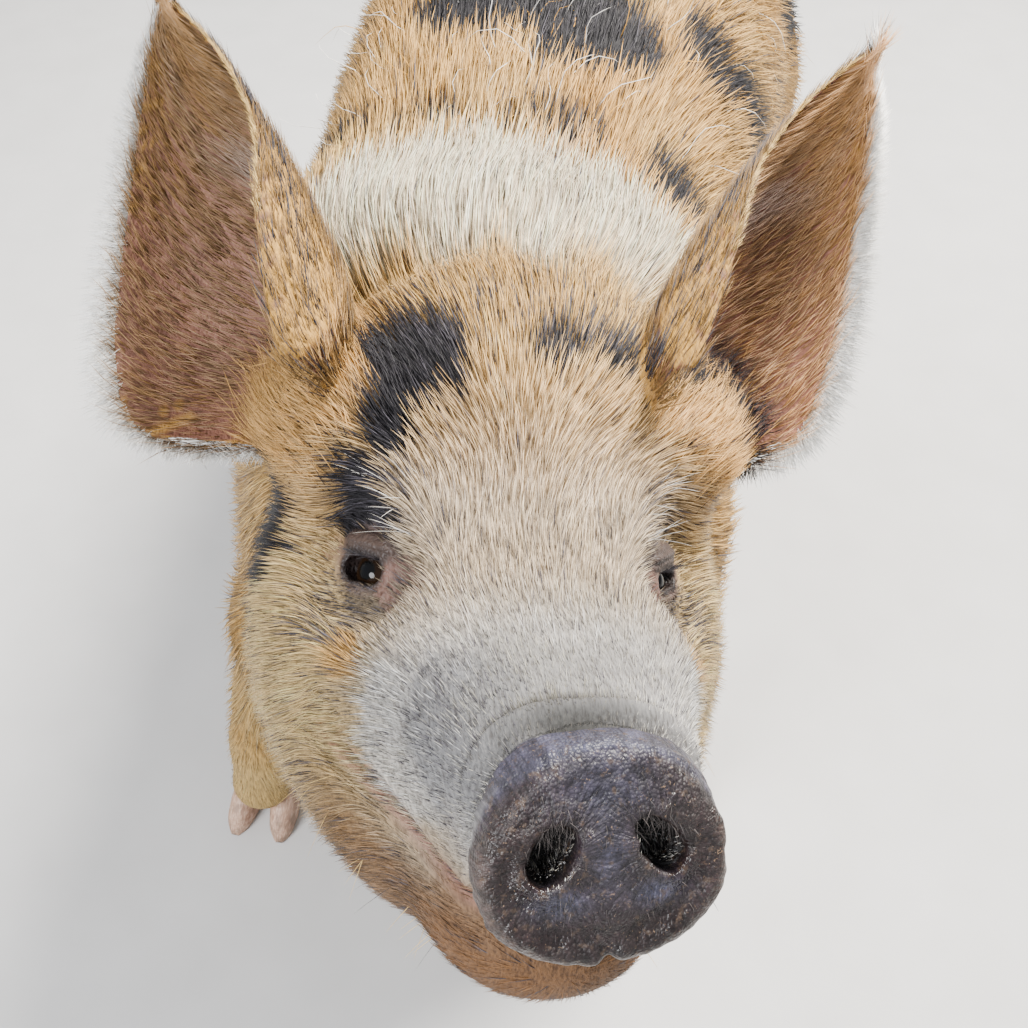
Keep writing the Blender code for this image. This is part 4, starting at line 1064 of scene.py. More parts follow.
def markings(points):
    """The coat's pale colour, and how much of it is black, at each point."""
    local = to_head(points)
    folded = mirrored(local)
    ragged = 0.20 * cloud(points, 0.024, 3) + 0.12 * cloud(points, 0.007, 4)
    black = np.zeros(len(points))
    for places, spots in ((local, HEAD_BLACK), (points, BODY_BLACK)):
        for middle, radii, strength in spots:
            black = np.maximum(black, strength * patch(places, middle, radii, ragged))
    y, z = local[:, 1], local[:, 2]
    past = rise(y, 0.070, 0.130)
    ash = rise(-y, -0.055, 0.010) * (1 - past)
    silver = rise(-y, 0.030, 0.085) * rise(z, -0.050, 0.000)
    white = rise(-y, 0.105, 0.135) * rise(z, -0.030, 0.006) * (0.7 + 0.5 * cloud(points, 0.022, 6))
    white = np.maximum(white, patch(folded, (0.068, -0.098, -0.022), (0.022, 0.046, 0.028), 1.5 * ragged))
    cheek = rise(folded[:, 0], 0.050, 0.090) * rise(-z, -0.030, 0.030) * (1 - past)
    orange = rise(-z, 0.052, 0.078) * rise(-y, 0.030, 0.090) * (1 - past)
    below = rise(-z, 0.030, 0.050) * rise(-y, 0.120, 0.150)
    tear = patch(local, (-0.088, -0.040, -0.018), (0.012, 0.020, 0.014), ragged)
    tear = np.maximum(tear, patch(local, (0.082, -0.045, -0.012), (0.012, 0.020, 0.014), ragged))
    side = patch(local, (-0.042, -0.116, 0.006), (0.024, 0.036, 0.030), 1.6 * ragged)
    # A darker grey-olive patch over the top of the snout behind the nose disc
    snout_top_grey = patch(local, (-0.015, -0.112, 0.034), (0.048, 0.040, 0.020), 2.2 * ragged)
    disc, _ = nose_place(local)
    behind, upper = crease_behind(disc), rise(disc[:, 2], 0.0, 0.02)
    # Painted shade in the crease over the nose disc and on the hair just behind it
    shadow = (1 - rise(behind, 0.002, 0.018)) * upper * groove(disc[:, 0] + 0.004, 0.027)
    crease_shade = (1 - rise(behind, 0.004, 0.036)) * upper * groove(disc[:, 0] + 0.008, 0.036)
    sooty = patch(folded, (0.070, -0.010, 0.004), (0.021, 0.028, 0.022), 0.8 * ragged)
    # A pale band over the nape, partly the hair's own colour and partly painted sunlight on the top of the
    # neck
    nape = patch(points, (0.005, -0.365, 0.610), (0.135, 0.062, 0.085), ragged)
    low = rise(-points[:, 2], -0.150, -0.080)
    belly = rise(-points[:, 2], -0.270, -0.210) * (1 - rise(-points[:, 2], -0.160, -0.120))
    colour = np.tile(GOLD, (len(points), 1))
    for share, tone in (
        (0.25 + 0.30 * cloud(points, 0.050, 8), CREAM), (0.85 * ash, ASH), (0.85 * cheek, CREAM),
        (0.9 * silver, SILVER), (0.8 * white, WHITE), (0.60 * side, SLATE), (0.80 * orange, ORANGE),
        (0.8 * below, ORANGE), (0.85 * tear, AMBER), (0.45 * snout_top_grey, SNOUT_TOP_GREY), (0.75 * crease_shade, CREASE_SHADE),
        (0.95 * shadow, DUSKY * 0.6), (0.75 * sooty, DUSKY), (0.95 * nape, NAPE), (0.80 * low, CREAM),
        (0.55 * belly, CREAM),
    ):
        colour = toned(colour, np.clip(share, 0, 1), tone)
    return colour, black


def salt(points):
    """The share of dark hairs strewn among the pale ones."""
    local = to_head(points)
    folded = mirrored(local)
    calm = np.zeros(len(points))
    share = 0.03 + 0.05 * (1 - rise(local[:, 1], 0.050, 0.120))
    share += 0.22 * patch(local, (-0.046, -0.114, 0.002), (0.026, 0.042, 0.034), calm)
    share += 0.30 * patch(folded, (0.060, 0.016, 0.024), (0.026, 0.020, 0.020), calm)
    share += 0.40 * patch(folded, (0.085, -0.006, -0.022), (0.022, 0.020, 0.020), calm)
    share += 0.20 * patch(local, (0.0, 0.060, 0.105), (0.085, 0.020, 0.030), calm)
    share += 0.07 * rise(-local[:, 1], -0.010, 0.040)
    return share


def coat_colours(points, draw):
    """Root and tip colours of the hairs that grow at these points."""
    count = len(points)
    colour, black = markings(points)
    strewn = draw.random(count) < salt(points)
    dark = (draw.random(count) < black * 1.04) | strewn
    grey = draw.random(count)[:, None]
    shade = (0.66 + 0.56 * draw.random(count) + 0.14 * cloud(points, 0.006, 31))[:, None]
    warm = 1 + 0.12 * (draw.random(count)[:, None] - 0.5) * np.array([0.4, 0.0, -1.4])
    # The pale hair's dark root is partly its own colour and partly painted shade deep in the coat
    pale_root = colour * ROOT_SHARE * shade * warm
    sheen = 0.09 * rise(colour.mean(1), 0.15, 0.40)[:, None]
    pale_tip = np.minimum(PALEST, (colour + WHITE * sheen) * shade * warm)
    dark_root = np.where(strewn[:, None], BLACK * 3.0, BLACK) * (0.7 + 0.8 * grey)
    dark_tip = np.where(strewn[:, None], BLACK * 4.5, BLACK) * (1.0 + 2.4 * grey**3)
    return np.where(dark[:, None], dark_root, pale_root), np.where(dark[:, None], dark_tip, pale_tip)


def hair_length(points):
    """How long the hair is at each point."""
    local = to_head(points)
    y, z = local[:, 1], local[:, 2]
    disc, _ = nose_place(local)
    face = 0.0056 + 0.0112 * rise(y, -0.140, 0.020) + 0.013 * rise(y, 0.020, 0.090)
    face = face + 0.010 * rise(-z, 0.020, 0.080)
    face = face * (0.40 + 0.60 * rise(eye_distance(local), 0.018, 0.045))
    face = face * (0.45 + 0.55 * rise(crease_behind(disc), 0.000, 0.016))
    body = 0.014 + 0.022 * rise(points[:, 2], 0.080, 0.300)
    past = past_head(points)
    return face * (1 - past) + body * past


def hair_density(points):
    """How many hairs grow on a square metre at each point."""
    local = to_head(points)
    past = rise(local[:, 1], 0.060, 0.140)
    face = 330e3 - 130e3 * rise(local[:, 1], 0.000, 0.090)
    along, above, _ = lid_place(local)
    off_lids = rise(bare_reach(along, above), 0.92, 1.45)
    face = face * np.maximum(off_lids, rise(eye_distance(local), 0.028, 0.034))
    disc, _ = nose_place(local)
    behind = crease_behind(disc)
    upper = rise(disc[:, 2], 0.008, 0.034)
    off_disc = rise(disc_field(local), 0.0008, 0.0030)
    edge = off_disc * rise(behind, -0.0005, 0.0015)
    side = np.maximum(off_disc, rise(disc[:, 1], -0.0050, 0.0000))
    face = face * (edge * upper + side * (1 - upper))
    face = face * (1 + 1.2 * (1 - rise(behind, 0.004, 0.014)))
    corner = patch(mirrored(local), (0.056, -0.024, 0.004), (0.016, 0.020, 0.014), 0.0)
    face = face * (1 - 0.55 * corner)
    top = rise(points[:, 2], 0.42, 0.58)
    near = rise(-points[:, 1], -0.05, 0.25)
    body = 30e3 + 50e3 * top * (0.35 + 0.65 * near) + 14e3 * rise(-points[:, 2], -0.24, -0.16)
    return face * (1 - past) + body * past


def hair_width(points):
    """How wide a hair is at its root."""
    local = to_head(points)
    past = rise(local[:, 1], 0.060, 0.150)
    face = 0.00044 + 0.00026 * rise(local[:, 1], -0.060, 0.080)
    body = 0.00065 + 0.00042 * rise(points[:, 2], 0.080, 0.200)
    return face * (1 - past) + body * past


STATION_REACH = np.array([0.0, 0.005, 0.012, 0.022, 0.036, 0.052])
# Shares of a hair's length at its rings and its tip, by its number of rings
HAIR_STATIONS = {1: (0.0, 1.0), 2: (0.0, 0.45, 1.0), 3: (0.0, 0.33, 0.68, 1.0)}
HAIR_WIDTHS = (1.0, 0.82, 0.52)
# How far over the skin a root is, and how low over the floor a hair may hang
ROOT_DEPTH = -0.0008
LEAST_HEIGHT = 0.0012
# Size of one hair's island on the UV map
HAIR_ISLAND = 0.003


def body_flow(points):
    """Normals at the roots, and the points reached along the lie of the coat, with the normals there."""
    normals = normals_of(smooth_skin, points)
    raised = np.clip(in_chunks(smooth_skin, points), 0, 0.006)[:, None]
    places, ups = [points], [normals]
    for step in np.diff(STATION_REACH):
        onward = places[-1] + step * laid_along(lie_of(places[-1]), ups[-1])
        onward = settled(smooth_skin, onward, 1)
        places.append(onward)
        ups.append(normals_of(smooth_skin, onward))
    for k in range(1, len(places)):
        places[k] = places[k] + raised * math.exp(-STATION_REACH[k] / 0.015) * ups[k]
    return np.array(places), np.array(ups)


def areas_of(points, triangles):
    """The area of each triangle."""
    corners = points[triangles]
    crossed = np.cross(corners[:, 1] - corners[:, 0], corners[:, 2] - corners[:, 0])
    return 0.5 * np.linalg.norm(crossed, axis=1)


def picked(triangles, points, density, draw):
    """Random triangles with a random place on each, at this density per square metre."""
    wanted = areas_of(points, triangles) * density[triangles].mean(1)
    count = np.floor(wanted + draw.random(len(wanted))).astype(int)
    face = np.repeat(np.arange(len(triangles)), count)
    u, v = draw.random(len(face)), draw.random(len(face))
    over = u + v > 1
    u, v = np.where(over, 1 - u, u), np.where(over, 1 - v, v)
    return triangles[face], np.column_stack([1 - u - v, u, v])


def mixed(values, corners, weights):
    """Values at the corners mixed by the weights."""
    if values.ndim == 1:
        return (values[corners] * weights).sum(1)
    return (values[corners] * weights[..., None]).sum(1)


def taper_points(lines, across, upward, halves_wide, low, high):
    """Points of three-sided tapers along lines: two under each ring's middle, one over it, and a tip."""
    made = []
    for line, side, up, half in zip(lines, across, upward, halves_wide):
        wide = half[:, None]
        left, right, under = line - side * wide, line + side * wide, up * wide * low
        made += [left - under, right - under, line + up * wide * high]
    made.append(lines[-1])
    return np.stack(made, 1).reshape(-1, 3)


def taper_faces(rings, count):
    """Triangles of this many tapers, each with three sides, some rings and a tip."""
    faces = []
    for k in range(rings - 1):
        for j in range(3):
            a, b = 3 * k + j, 3 * k + (j + 1) % 3
            faces += [(a, b, b + 3), (a, b + 3, a + 3)]
    last, tip = 3 * (rings - 1), 3 * rings
    faces += [(last + j, last + (j + 1) % 3, tip) for j in range(3)]
    return (np.array(faces)[None] + (tip + 1) * np.arange(count)[:, None, None]).reshape(-1, 3)


def taper_uvs(spots, share):
    """A small island for each taper on the UV map, round its own spot."""
    level = HAIR_ISLAND * (np.append(np.repeat(share[:-1], 3), 1.0) - 0.5)
    sideways = HAIR_ISLAND * np.append(np.tile([-0.5, 0.5, 0.0], len(share) - 1), 0.0)
    return (spots[:, None, :] + np.stack([sideways, level], 1)[None]).reshape(-1, 2)


def hairs(
    places, ups, length, width, height, colours, spots, draw, rings=2, wave=0.10, spread=0.22, stand=1.0,
):
    """Points, triangles, colours and UVs of tapered three-sided hairs along the flow."""
    count = places.shape[1]
    share = np.array(HAIR_STATIONS[rings])
    root = places[0]
    bent = spread * (0.65 * cloud(root, 0.011, 21) + 0.55 * (draw.random(count) * 2 - 1))
    sway = wave * (draw.random(count) * 2 - 1)
    clump = 0.80 + 0.28 * cloud(root, 0.009, 22) + 0.34 * (draw.random(count) - 0.5)
    roll = 0.9 * (draw.random(count) * 2 - 1)
    row = np.arange(count)
    lines, normals = [], []
    for part in share:
        reach = np.clip(part * length, 0, STATION_REACH[-1])
        k = np.clip(np.searchsorted(STATION_REACH, reach) - 1, 0, len(STATION_REACH) - 2)
        t = ((reach - STATION_REACH[k]) / (STATION_REACH[k + 1] - STATION_REACH[k]))[:, None]
        up = unit(ups[k, row] * (1 - t) + ups[k + 1, row] * t)
        offset = places[k, row] * (1 - t) + places[k + 1, row] * t - root
        turned = bent + sway * part**1.5
        offset = offset * np.cos(turned)[:, None] + np.cross(ups[0], offset) * np.sin(turned)[:, None]
        lift = -0.0006 + height * stand * clump * part**1.15
        lines.append(root + offset + up * np.where(part == 0, ROOT_DEPTH, lift)[:, None])
        normals.append(up)
    lines = np.array(lines)
    along = unit(np.gradient(lines, axis=0))
    across = unit(np.cross(np.array(normals), along))
    third = np.cross(along, across)
    cosine, sine = np.cos(roll)[None, :, None], np.sin(roll)[None, :, None]
    halves_wide = [0.5 * width * wide for wide in HAIR_WIDTHS[:rings]]
    turned, upward = across * cosine + third * sine, third * cosine - across * sine
    points = taper_points(lines, turned, upward, halves_wide, 0.3, 0.55)
    points[:, 2] = np.maximum(points[:, 2], LEAST_HEIGHT)
    mix = np.append(np.repeat(share[:rings], 3), 1.0)
    root_colour, tip_colour = colours
    tints = np.stack([root_colour * (1 - s) + tip_colour * s for s in mix], 1).reshape(-1, 3)
    return points, taper_faces(rings, count), tints, taper_uvs(spots, share)


def unwrapped(points, middle, axis_along, axis_up, low, high):
    """A roll of the surface round an axis, laid flat, as UVs from 0 to 1."""
    along = np.asarray(axis_along, float)
    up = np.asarray(axis_up, float)
    away = points - np.asarray(middle, float)
    side = np.cross(along, up)
    turn = np.arctan2(away @ side, away @ up) / (2 * math.pi) + 0.5
    down = (away @ along - low) / (high - low)
    return np.clip(np.column_stack([turn, down]), 0.002, 0.998)


def feed(tree, node, inputs):
    """Sets inputs of a node to values, or links sockets to them."""
    for key, value in inputs.items():
        if isinstance(value, bpy.types.NodeSocket):
            tree.links.new(value, node.inputs[key])
        else:
            node.inputs[key].default_value = value


def node_in(tree, kind, inputs, **settings):
    """A shader node with its settings, and its inputs as values or as sockets to link."""
    made = tree.nodes.new(kind)
    for key, value in settings.items():
        setattr(made, key, value)
    feed(tree, made, inputs)
    return made


def attribute(tree, name, output="Fac"):
    """What the mesh holds under this name at each point."""
    return node_in(tree, "ShaderNodeAttribute", {}, attribute_name=name).outputs[output]


def noise(tree, place, scale, detail, **others):
    """Soft noise from 0 to 1."""
    inputs = {"Vector": place, "Scale": scale, "Detail": detail, **others}
    return node_in(tree, "ShaderNodeTexNoise", inputs).outputs["Fac"]


def spread(tree, value, given=(0.0, 1.0), wanted=(0.0, 1.0)):
    """A number moved from one range to another."""
    ends = {"From Min": given[0], "From Max": given[1], "To Min": wanted[0], "To Max": wanted[1]}
    return node_in(tree, "ShaderNodeMapRange", {"Value": value, **ends}).outputs["Result"]


def ramp(tree, factor, stops):
    """A colour ramp with these places and colours, where one number stands for a grey."""
    made = node_in(tree, "ShaderNodeValToRGB", {"Fac": factor})
    band = made.color_ramp
    for place, colour in stops[1:-1]:
        band.elements.new(place)
    for element, (place, colour) in zip(band.elements, stops):
        element.position = place
        element.color = (*np.broadcast_to(colour, 3), 1)
    return made.outputs["Color"]


def blended(tree, share, first, second, kind="MIX"):
    """Two colours mixed by a share."""
    made = node_in(tree, "ShaderNodeMix", {}, data_type="RGBA", blend_type=kind)
    colours = {"A": first, "B": second}
    colours = {key: (*value, 1) if isinstance(value, tuple) else value for key, value in colours.items()}
    feed(tree, made, {"Factor": share, **colours})
    return made.outputs["Result"]


def level_mix(tree, share, first, second):
    """Two numbers mixed by a share."""
    made = node_in(tree, "ShaderNodeMix", {}, data_type="FLOAT")
    feed(tree, made, {"Factor": share, "A": first, "B": second})
    return made.outputs["Result"]


def maths(tree, kind, first, second):
    """A number worked out from two."""
    return node_in(tree, "ShaderNodeMath", {0: first, 1: second}, operation=kind).outputs["Value"]


def new_material(name):
    """A material, its tree, its shader and the place in the piece's own space."""
    made = bpy.data.materials.new(name)
    made.use_nodes = True
    tree = made.node_tree
    place = node_in(tree, "ShaderNodeTexCoord", {}).outputs["Object"]
    return made, tree, tree.nodes["Principled BSDF"], place


@cache
def coat_material():
    """Hair in the colour of its own tuft, with fine variation along and between hairs."""
    made, tree, shader, place = new_material("coat_hair")
    fine = noise(tree, place, 260, 0)
    tone = spread(tree, fine, (0.3, 0.7), (0.84, 1.10))
    feed(tree, shader, {
        "Base Color": blended(tree, 1.0, attribute(tree, "tint", "Color"), tone, "MULTIPLY"),
        "Roughness": spread(tree, fine, wanted=(0.42, 0.66)),
        "Specular IOR Level": 0.28,
    })
    return made


PIECE_TRIANGLES = 190000
# Kind and key of what a mesh holds at a point, by its count of numbers
POINT_VALUES = {1: ("FLOAT", "value"), 3: ("FLOAT_VECTOR", "vector"), 4: ("FLOAT_COLOR", "color")}


def spots_on_map(kind, roots):
    """Where each root is on the UV map of the head, the torso or a leg."""
    if kind == "head":
        axes = np.array(HEAD_FRAME)[:3, :3]
        return unwrapped(roots, HEAD_FRAME @ Vector((0, 0, -0.04)), axes[:, 1], axes[:, 2], -0.22, 0.20)
    if kind == "torso":
        return unwrapped(roots, (0, 0, 0.40), (0, 1, 0), (0, 0, 1), -0.50, 0.45)
    if kind == "back":
        return unwrapped(roots, (0, 0, 0.40), (0, 1, 0), (0, 0, 1), -0.60, 0.50)
    return unwrapped(roots, (*roots[:, :2].mean(0), 0), (0, 0, 1), (0, 1, 0), 0.0, 0.25)


def put_values(mesh, name, values):
    """Stores a number, a vector or a colour on each point of a mesh."""
    kind, key = POINT_VALUES[values.size // len(values)]
    layer = mesh.attributes.new(name, kind, "POINT")
    layer.data.foreach_set(key, values.astype(np.float32).ravel())


def opaque(colours):
    """The colours with an alpha of 1."""
    return np.column_stack([colours, np.ones(len(colours))])


def coat_pieces(name, parts):
    """Coat objects of hairs, none of them over the limit of triangles."""
    starts = np.cumsum([0] + [len(part[0]) for part in parts])
    faces = np.vstack([part[1] + start for part, start in zip(parts, starts)])
    points, colours, uvs = (np.vstack([part[k] for part in parts]) for k in (0, 2, 3))
    count = math.ceil(len(faces) / PIECE_TRIANGLES)
    cuts = [0]
    for k in range(1, count):
        cut = k * len(faces) // count
        while faces[cut].min() < faces[:cut][-60:].max() + 1 and cut < len(faces) - 1:
            cut += 1
        cuts.append(cut)
    cuts.append(len(faces))
    for k, (first, last) in enumerate(zip(cuts, cuts[1:])):
        some = faces[first:last]
        low, high = some.min(), some.max() + 1
        mesh = mesh_from(name, points[low:high] + np.array(MIDDLE_SHIFT), some - low)
        put_values(mesh, "tint", opaque(colours[low:high]))
        layer = mesh.uv_layers.new(name="OFBake")
        layer.data.foreach_set("uv", uvs[low:high][(some - low).ravel()].astype(np.float32).ravel())
        mesh.materials.append(coat_material())
        piece = shown(name if count == 1 else f"{name}_{k + 1}", mesh)
        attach(piece, "root")


THINNER = 1.0
LEG_TOP = 0.21
# Name, part of the body, where it starts and ends along it, slot,
# and triangles of its undercoat and of its long hair
COAT_REGIONS = (
    ("snout", "head", -math.inf, -0.060, "face_coat", 100e3, 84e3),
    ("face", "head", -0.060, 0.030, "face_coat", 72e3, 140e3),
    ("crown", "head", 0.030, math.inf, "face_coat", 50e3, 130e3),
    ("neck", "torso", -math.inf, -0.300, "golden_coat", 45e3, 75e3),
    ("shoulders", "torso", -0.300, -0.080, "golden_coat", 45e3, 75e3),
    ("barrel", "torso", -0.080, 0.120, "golden_coat", 25e3, 52e3),
    ("rump", "torso", 0.120, math.inf, "golden_coat", 25e3, 57e3),
    ("foreleg_right", "leg", -math.inf, -0.1, "golden_coat", 4e3, 13e3),
    ("foreleg_left", "leg", -math.inf, -0.1, "golden_coat", 4e3, 13e3),
    ("hindleg_right", "leg", -0.1, math.inf, "golden_coat", 4e3, 13e3),
    ("hindleg_left", "leg", -0.1, math.inf, "golden_coat", 4e3, 13e3),
)
# Rings, shares of the length and width, how high it stands and how bright it is, for the undercoat and the
# long hair; the undercoat is darker as painted shade under the long hair
COAT_LAYERS = ((1, 0.60, 0.80, 0.55, 0.68), (2, 1.0, 1.0, 1.0, 1.0))


def body_parts(middle):
    """Which triangles are of the head, torso and legs, and how far back each is in the part's own frame."""
    x, y, z = middle.T
    local_y = to_head(middle)[:, 1]
    leg = (z < LEG_TOP) & (np.abs(x) > 0.05) & (np.abs(x) > 0.10 - 0.3 * (LEG_TOP - z))
    head = (local_y < 0.125) & ~leg & (y < -0.36)
    return {"head": (head, local_y), "torso": (~head & ~leg, y), "leg": (leg, y)}


def body_coat(skin_points, skin_triangles, own):
    """The coat of the head, neck, torso and legs, in pieces by region."""
    triangles = skin_triangles[own[skin_triangles].all(1)]
    used = np.unique(triangles)
    renamed = np.full(len(skin_points), -1)
    renamed[used] = np.arange(len(used))
    triangles = renamed[triangles]
    points = skin_points[used]
    places, ups = body_flow(points)
    density, length, width = hair_density(points), hair_length(points), hair_width(points)
    depth = coat_depth(points)
    parts_of_body = body_parts(points[triangles].mean(1))
    for number, (name, kind, low, high, slot, *budgets) in enumerate(COAT_REGIONS):
        inside, along = parts_of_body[kind]
        inside = inside & (along >= low) & (along < high)
        if kind == "leg":
            inside &= points[triangles].mean(1)[:, 0] * (1 if name.endswith("left") else -1) > 0
        chosen = triangles[inside]
        wanted = (areas_of(points, chosen) * density[chosen].mean(1)).sum()
        parts = []
        for layer, (rings, tall, broad, stand, tone) in enumerate(COAT_LAYERS):
            draw = np.random.default_rng(100 + number + 50 * layer)
            hair_triangles = 3 + 6 * (rings - 1)
            share = THINNER * budgets[layer] / hair_triangles / wanted
            corners, weights = picked(chosen, points, density * share, draw)
            order = np.argsort(mixed(points[:, 1], corners, weights))
            corners, weights = corners[order], weights[order]
            root = mixed(points, corners, weights)
            flow = np.array([mixed(place, corners, weights) for place in places])
            up = np.array([mixed(normal, corners, weights) for normal in ups])
            reach = mixed(length, corners, weights) * tall * (0.68 + 0.55 * draw.random(len(root)))
            wide = mixed(width, corners, weights) * broad * (0.70 + 0.60 * draw.random(len(root)))
            wide = wide / math.sqrt(THINNER)
            # The undercoat's colours are darkened as painted shade under the long hair
            colours = [tones * tone for tones in coat_colours(root, draw)]
            high_up = mixed(depth, corners, weights)
            spots = spots_on_map(kind, root)
            parts.append(hairs(flow, up, reach, wide, high_up, colours, spots, draw, rings, stand=stand))
        coat_pieces("coat_" + name, parts)


def spot_on(grid, row, column):
    """Points of a grid between its rows and columns, carried on straight past its margins."""
    rows, columns = grid.shape[:2]
    i = np.clip(np.floor(row).astype(int), 0, rows - 2)
    j = np.clip(np.floor(column).astype(int), 0, columns - 2)
    u, v = (row - i)[:, None], (column - j)[:, None]
    near = grid[i, j] * (1 - v) + grid[i, j + 1] * v
    far = grid[i + 1, j] * (1 - v) + grid[i + 1, j + 1] * v
    return near * (1 - u) + far * u


def grid_normals(grid, towards):
    """Unit normals of a grid of points, turned to the side of towards."""
    normal = unit(np.cross(np.gradient(grid, axis=0), np.gradient(grid, axis=1)), 1e-12)
    middle = normal[grid.shape[0] // 2, grid.shape[1] // 2]
    return normal if middle @ np.asarray(towards, float) > 0 else -normal


def grid_flow(grid, normals, row, column, up_share, side_share):
    """The places reached by walking over a grid from each row and column, with the normals there."""
    along, wide = (np.linalg.norm(np.gradient(grid, axis=k), axis=2)[..., None] for k in (0, 1))
    size = np.hypot(up_share, side_share)
    up_share, side_share = up_share / size, side_share / size
    places, ups = [], []
    for step in np.diff(STATION_REACH, prepend=0.0):
        row, column = (
            row + step * up_share / np.maximum(spot_on(along, row, column)[:, 0], LEAST_SPACING),
            column + step * side_share / np.maximum(spot_on(wide, row, column)[:, 0], LEAST_SPACING),
        )
        places.append(spot_on(grid, row, column))
        held = np.clip(row, 0, grid.shape[0] - 1), np.clip(column, 0, grid.shape[1] - 1)
        ups.append(unit(spot_on(normals, *held)))
    return np.array(places), np.array(ups)


# The least spacing of a grid that hair is led over
LEAST_SPACING = 4e-4
EAR_ROWS, EAR_COLUMNS = 120, 80
INNER_KINDS, BACK_KINDS = ("inside", "down"), ("back", "undercoat")
# Kind, sheet, hairs, length, its least share and its spread, width,
# height over the skin or to both sides, rings
EAR_HAIRS = (
    ("inside", "inner", 5900, 0.0290, (0.50, 0.75), 0.00050, 0.0080, 2),
    ("down", "inner", 4600, 0.0110, (0.50, 0.75), 0.00040, 0.0026, 1),
    ("back", "back", 5200, 0.0240, (0.6, 0.6), 0.00055, 0.0056, 2),
    ("undercoat", "back", 4600, 0.0120, (0.6, 0.6), 0.00050, 0.0030, 1),
    ("fringe", "middle", 4900, 0.0220, (0.55, 0.65), 0.00052, 0.006, 2),
    ("inner_fringe", "middle", 500, 0.0090, (0.55, 0.65), 0.00040, 0.002, 2),
    ("low_fringe", "middle", 1500, 0.0300, (0.55, 0.65), 0.00050, 0.006, 2),
)
# Seeds of the draws, and how much darker the inside is than its colours, on the pig's right and left, the
# right one darker as painted shade in its cup
EAR_SEEDS = (300, 330)
EAR_CUP_SHADE = (np.array([0.56, 0.45, 0.41]), np.array([0.98, 0.76, 0.70]))
EAR_ROOT_DENSITY = 230e3
TAIL_HAIRS = 2600
BACK_BRISTLES = 420
# Lashes over and under each eye, and hairs over each nostril and round it
LASHES = (34, 10)
NOSTRIL_HAIRS = (130, 250)
# Count, spot, heading, length and tone of the brow's bristles,
# the long hairs over the eye and the whiskers of the lips
WHISKERS = (
    (22, ((0.050, 0.082), (-0.004, 0.030), 0.040), ((0.3, 1.0), (-0.5, 0.6), (0.1, 0.7)), (0.014, 0.024),
     lambda draw: WHITE * 0.85 if draw.random() < 0.5 else BLACK * 3),
    (5, ((0.054, 0.066), (-0.012, 0.006), 0.026), (1.0, (0.10, 0.90), (-0.20, 0.45)), (0.022, 0.036),
     lambda draw: WHITE * draw.uniform(0.55, 1.0)),
    (22, ((0.020, 0.080), (-0.150, -0.030), -0.090), ((0.2, 0.9), (-0.6, 0.4), (-1.0, -0.3)), (0.012, 0.024),
     lambda draw: CREAM if draw.random() < 0.7 else BLACK * 3),
)


def ear_roots(kind, count, draw):
    """Where the hairs of one kind grow: how far up the ear, and how far across it from its inner margin."""
    t = draw.random(count)
    s = draw.random(count)
    if kind == "fringe":
        return t**0.90, 1 - 0.035 * draw.random(count)
    if kind == "inner_fringe":
        return 0.45 + 0.55 * t, 0.012 * draw.random(count)
    if kind == "low_fringe":
        return 0.060 * t, 0.50 + 0.50 * s**0.8
    area = np.sqrt(np.interp(t, EAR_SHAPE[:, 0], EAR_SHAPE[:, 1]) / 0.082)
    keep = draw.random(count) < area
    return t[keep], s[keep]


def ear_headings(kind, side, t, s):
    """How far up and how far across the ear its hairs lie."""
    if kind in INNER_KINDS:
        upward = 0.30 + 1.8 * t - 0.45 * rise(-t, -0.12, 0.0) + (0.45 if side > 0 else 0.0)
        return upward, 0.80 + 0.15 * (s > 0.5)
    if kind in BACK_KINDS:
        return np.ones(len(t)), 0.5 * (s - 0.5)
    if kind == "low_fringe":
        return np.full(len(t), -1.0), 0.25 + 0.9 * rise(s, 0.7, 1.0)
    if kind == "inner_fringe":
        return np.full(len(t), 1.0), np.full(len(t), -0.55)
    return -0.55 + 1.75 * t, np.ones(len(t))


def ear_tones(kind, side, t, s, from_inner, black):
    """Colours of the tips and of the roots, and how likely a hair is to be black."""
    if kind in INNER_KINDS:
        streak = (0.5 + 0.5 * cloud(np.column_stack([s * 0.17, t * 0.03, 0 * s]), 0.006, 41))[:, None]
        deep = (groove(s - 0.62, 0.16) * groove(t - 0.42, 0.22))[:, None]
        tip = CREAM * 0.62 + NAPE * 0.16 + (WHITE - GOLD) * 0.34 * (streak - 0.4)
        tip = toned(tip, 0.75 * tuft_share(t, from_inner), WHITE)
        # Painted shade deep in the cup, and over the whole inside of the right ear
        tip = tip * (1 - 0.22 * deep) * EAR_CUP_SHADE[0 if side < 0 else 1]
        return tip, tip * (0.28 if kind == "inside" else 0.34), black
    if kind in BACK_KINDS:
        stripe = groove(from_inner - 0.008 - 0.018 * (1 - rise(t, 0.25, 0.80)), 0.0075) * rise(t, 0.06, 0.2)
        tip = np.tile(GOLD * 0.32 + NAPE * 0.06, (len(t), 1))
        return tip, tip * 0.38, np.maximum(black, np.maximum(0.85 * stripe, 0.18))
    # The outer fringe is white hair; its whitest tips and pale roots are also painted light for the glow of
    # hair lit from behind
    tip = np.tile(CREAM * 0.85 if kind == "inner_fringe" else WHITE * 1.04, (len(t), 1))
    return tip, tip * (0.38 if kind == "low_fringe" else 0.66), black


def tuft_share(t, from_inner):
    """1 in the white tuft half way up the inside of an ear."""
    return rise(from_inner, 0.040, 0.052) * (1 - rise(from_inner, 0.066, 0.088)) * (
        rise(t, 0.20, 0.34) * (1 - rise(t, 0.50, 0.66))
    )


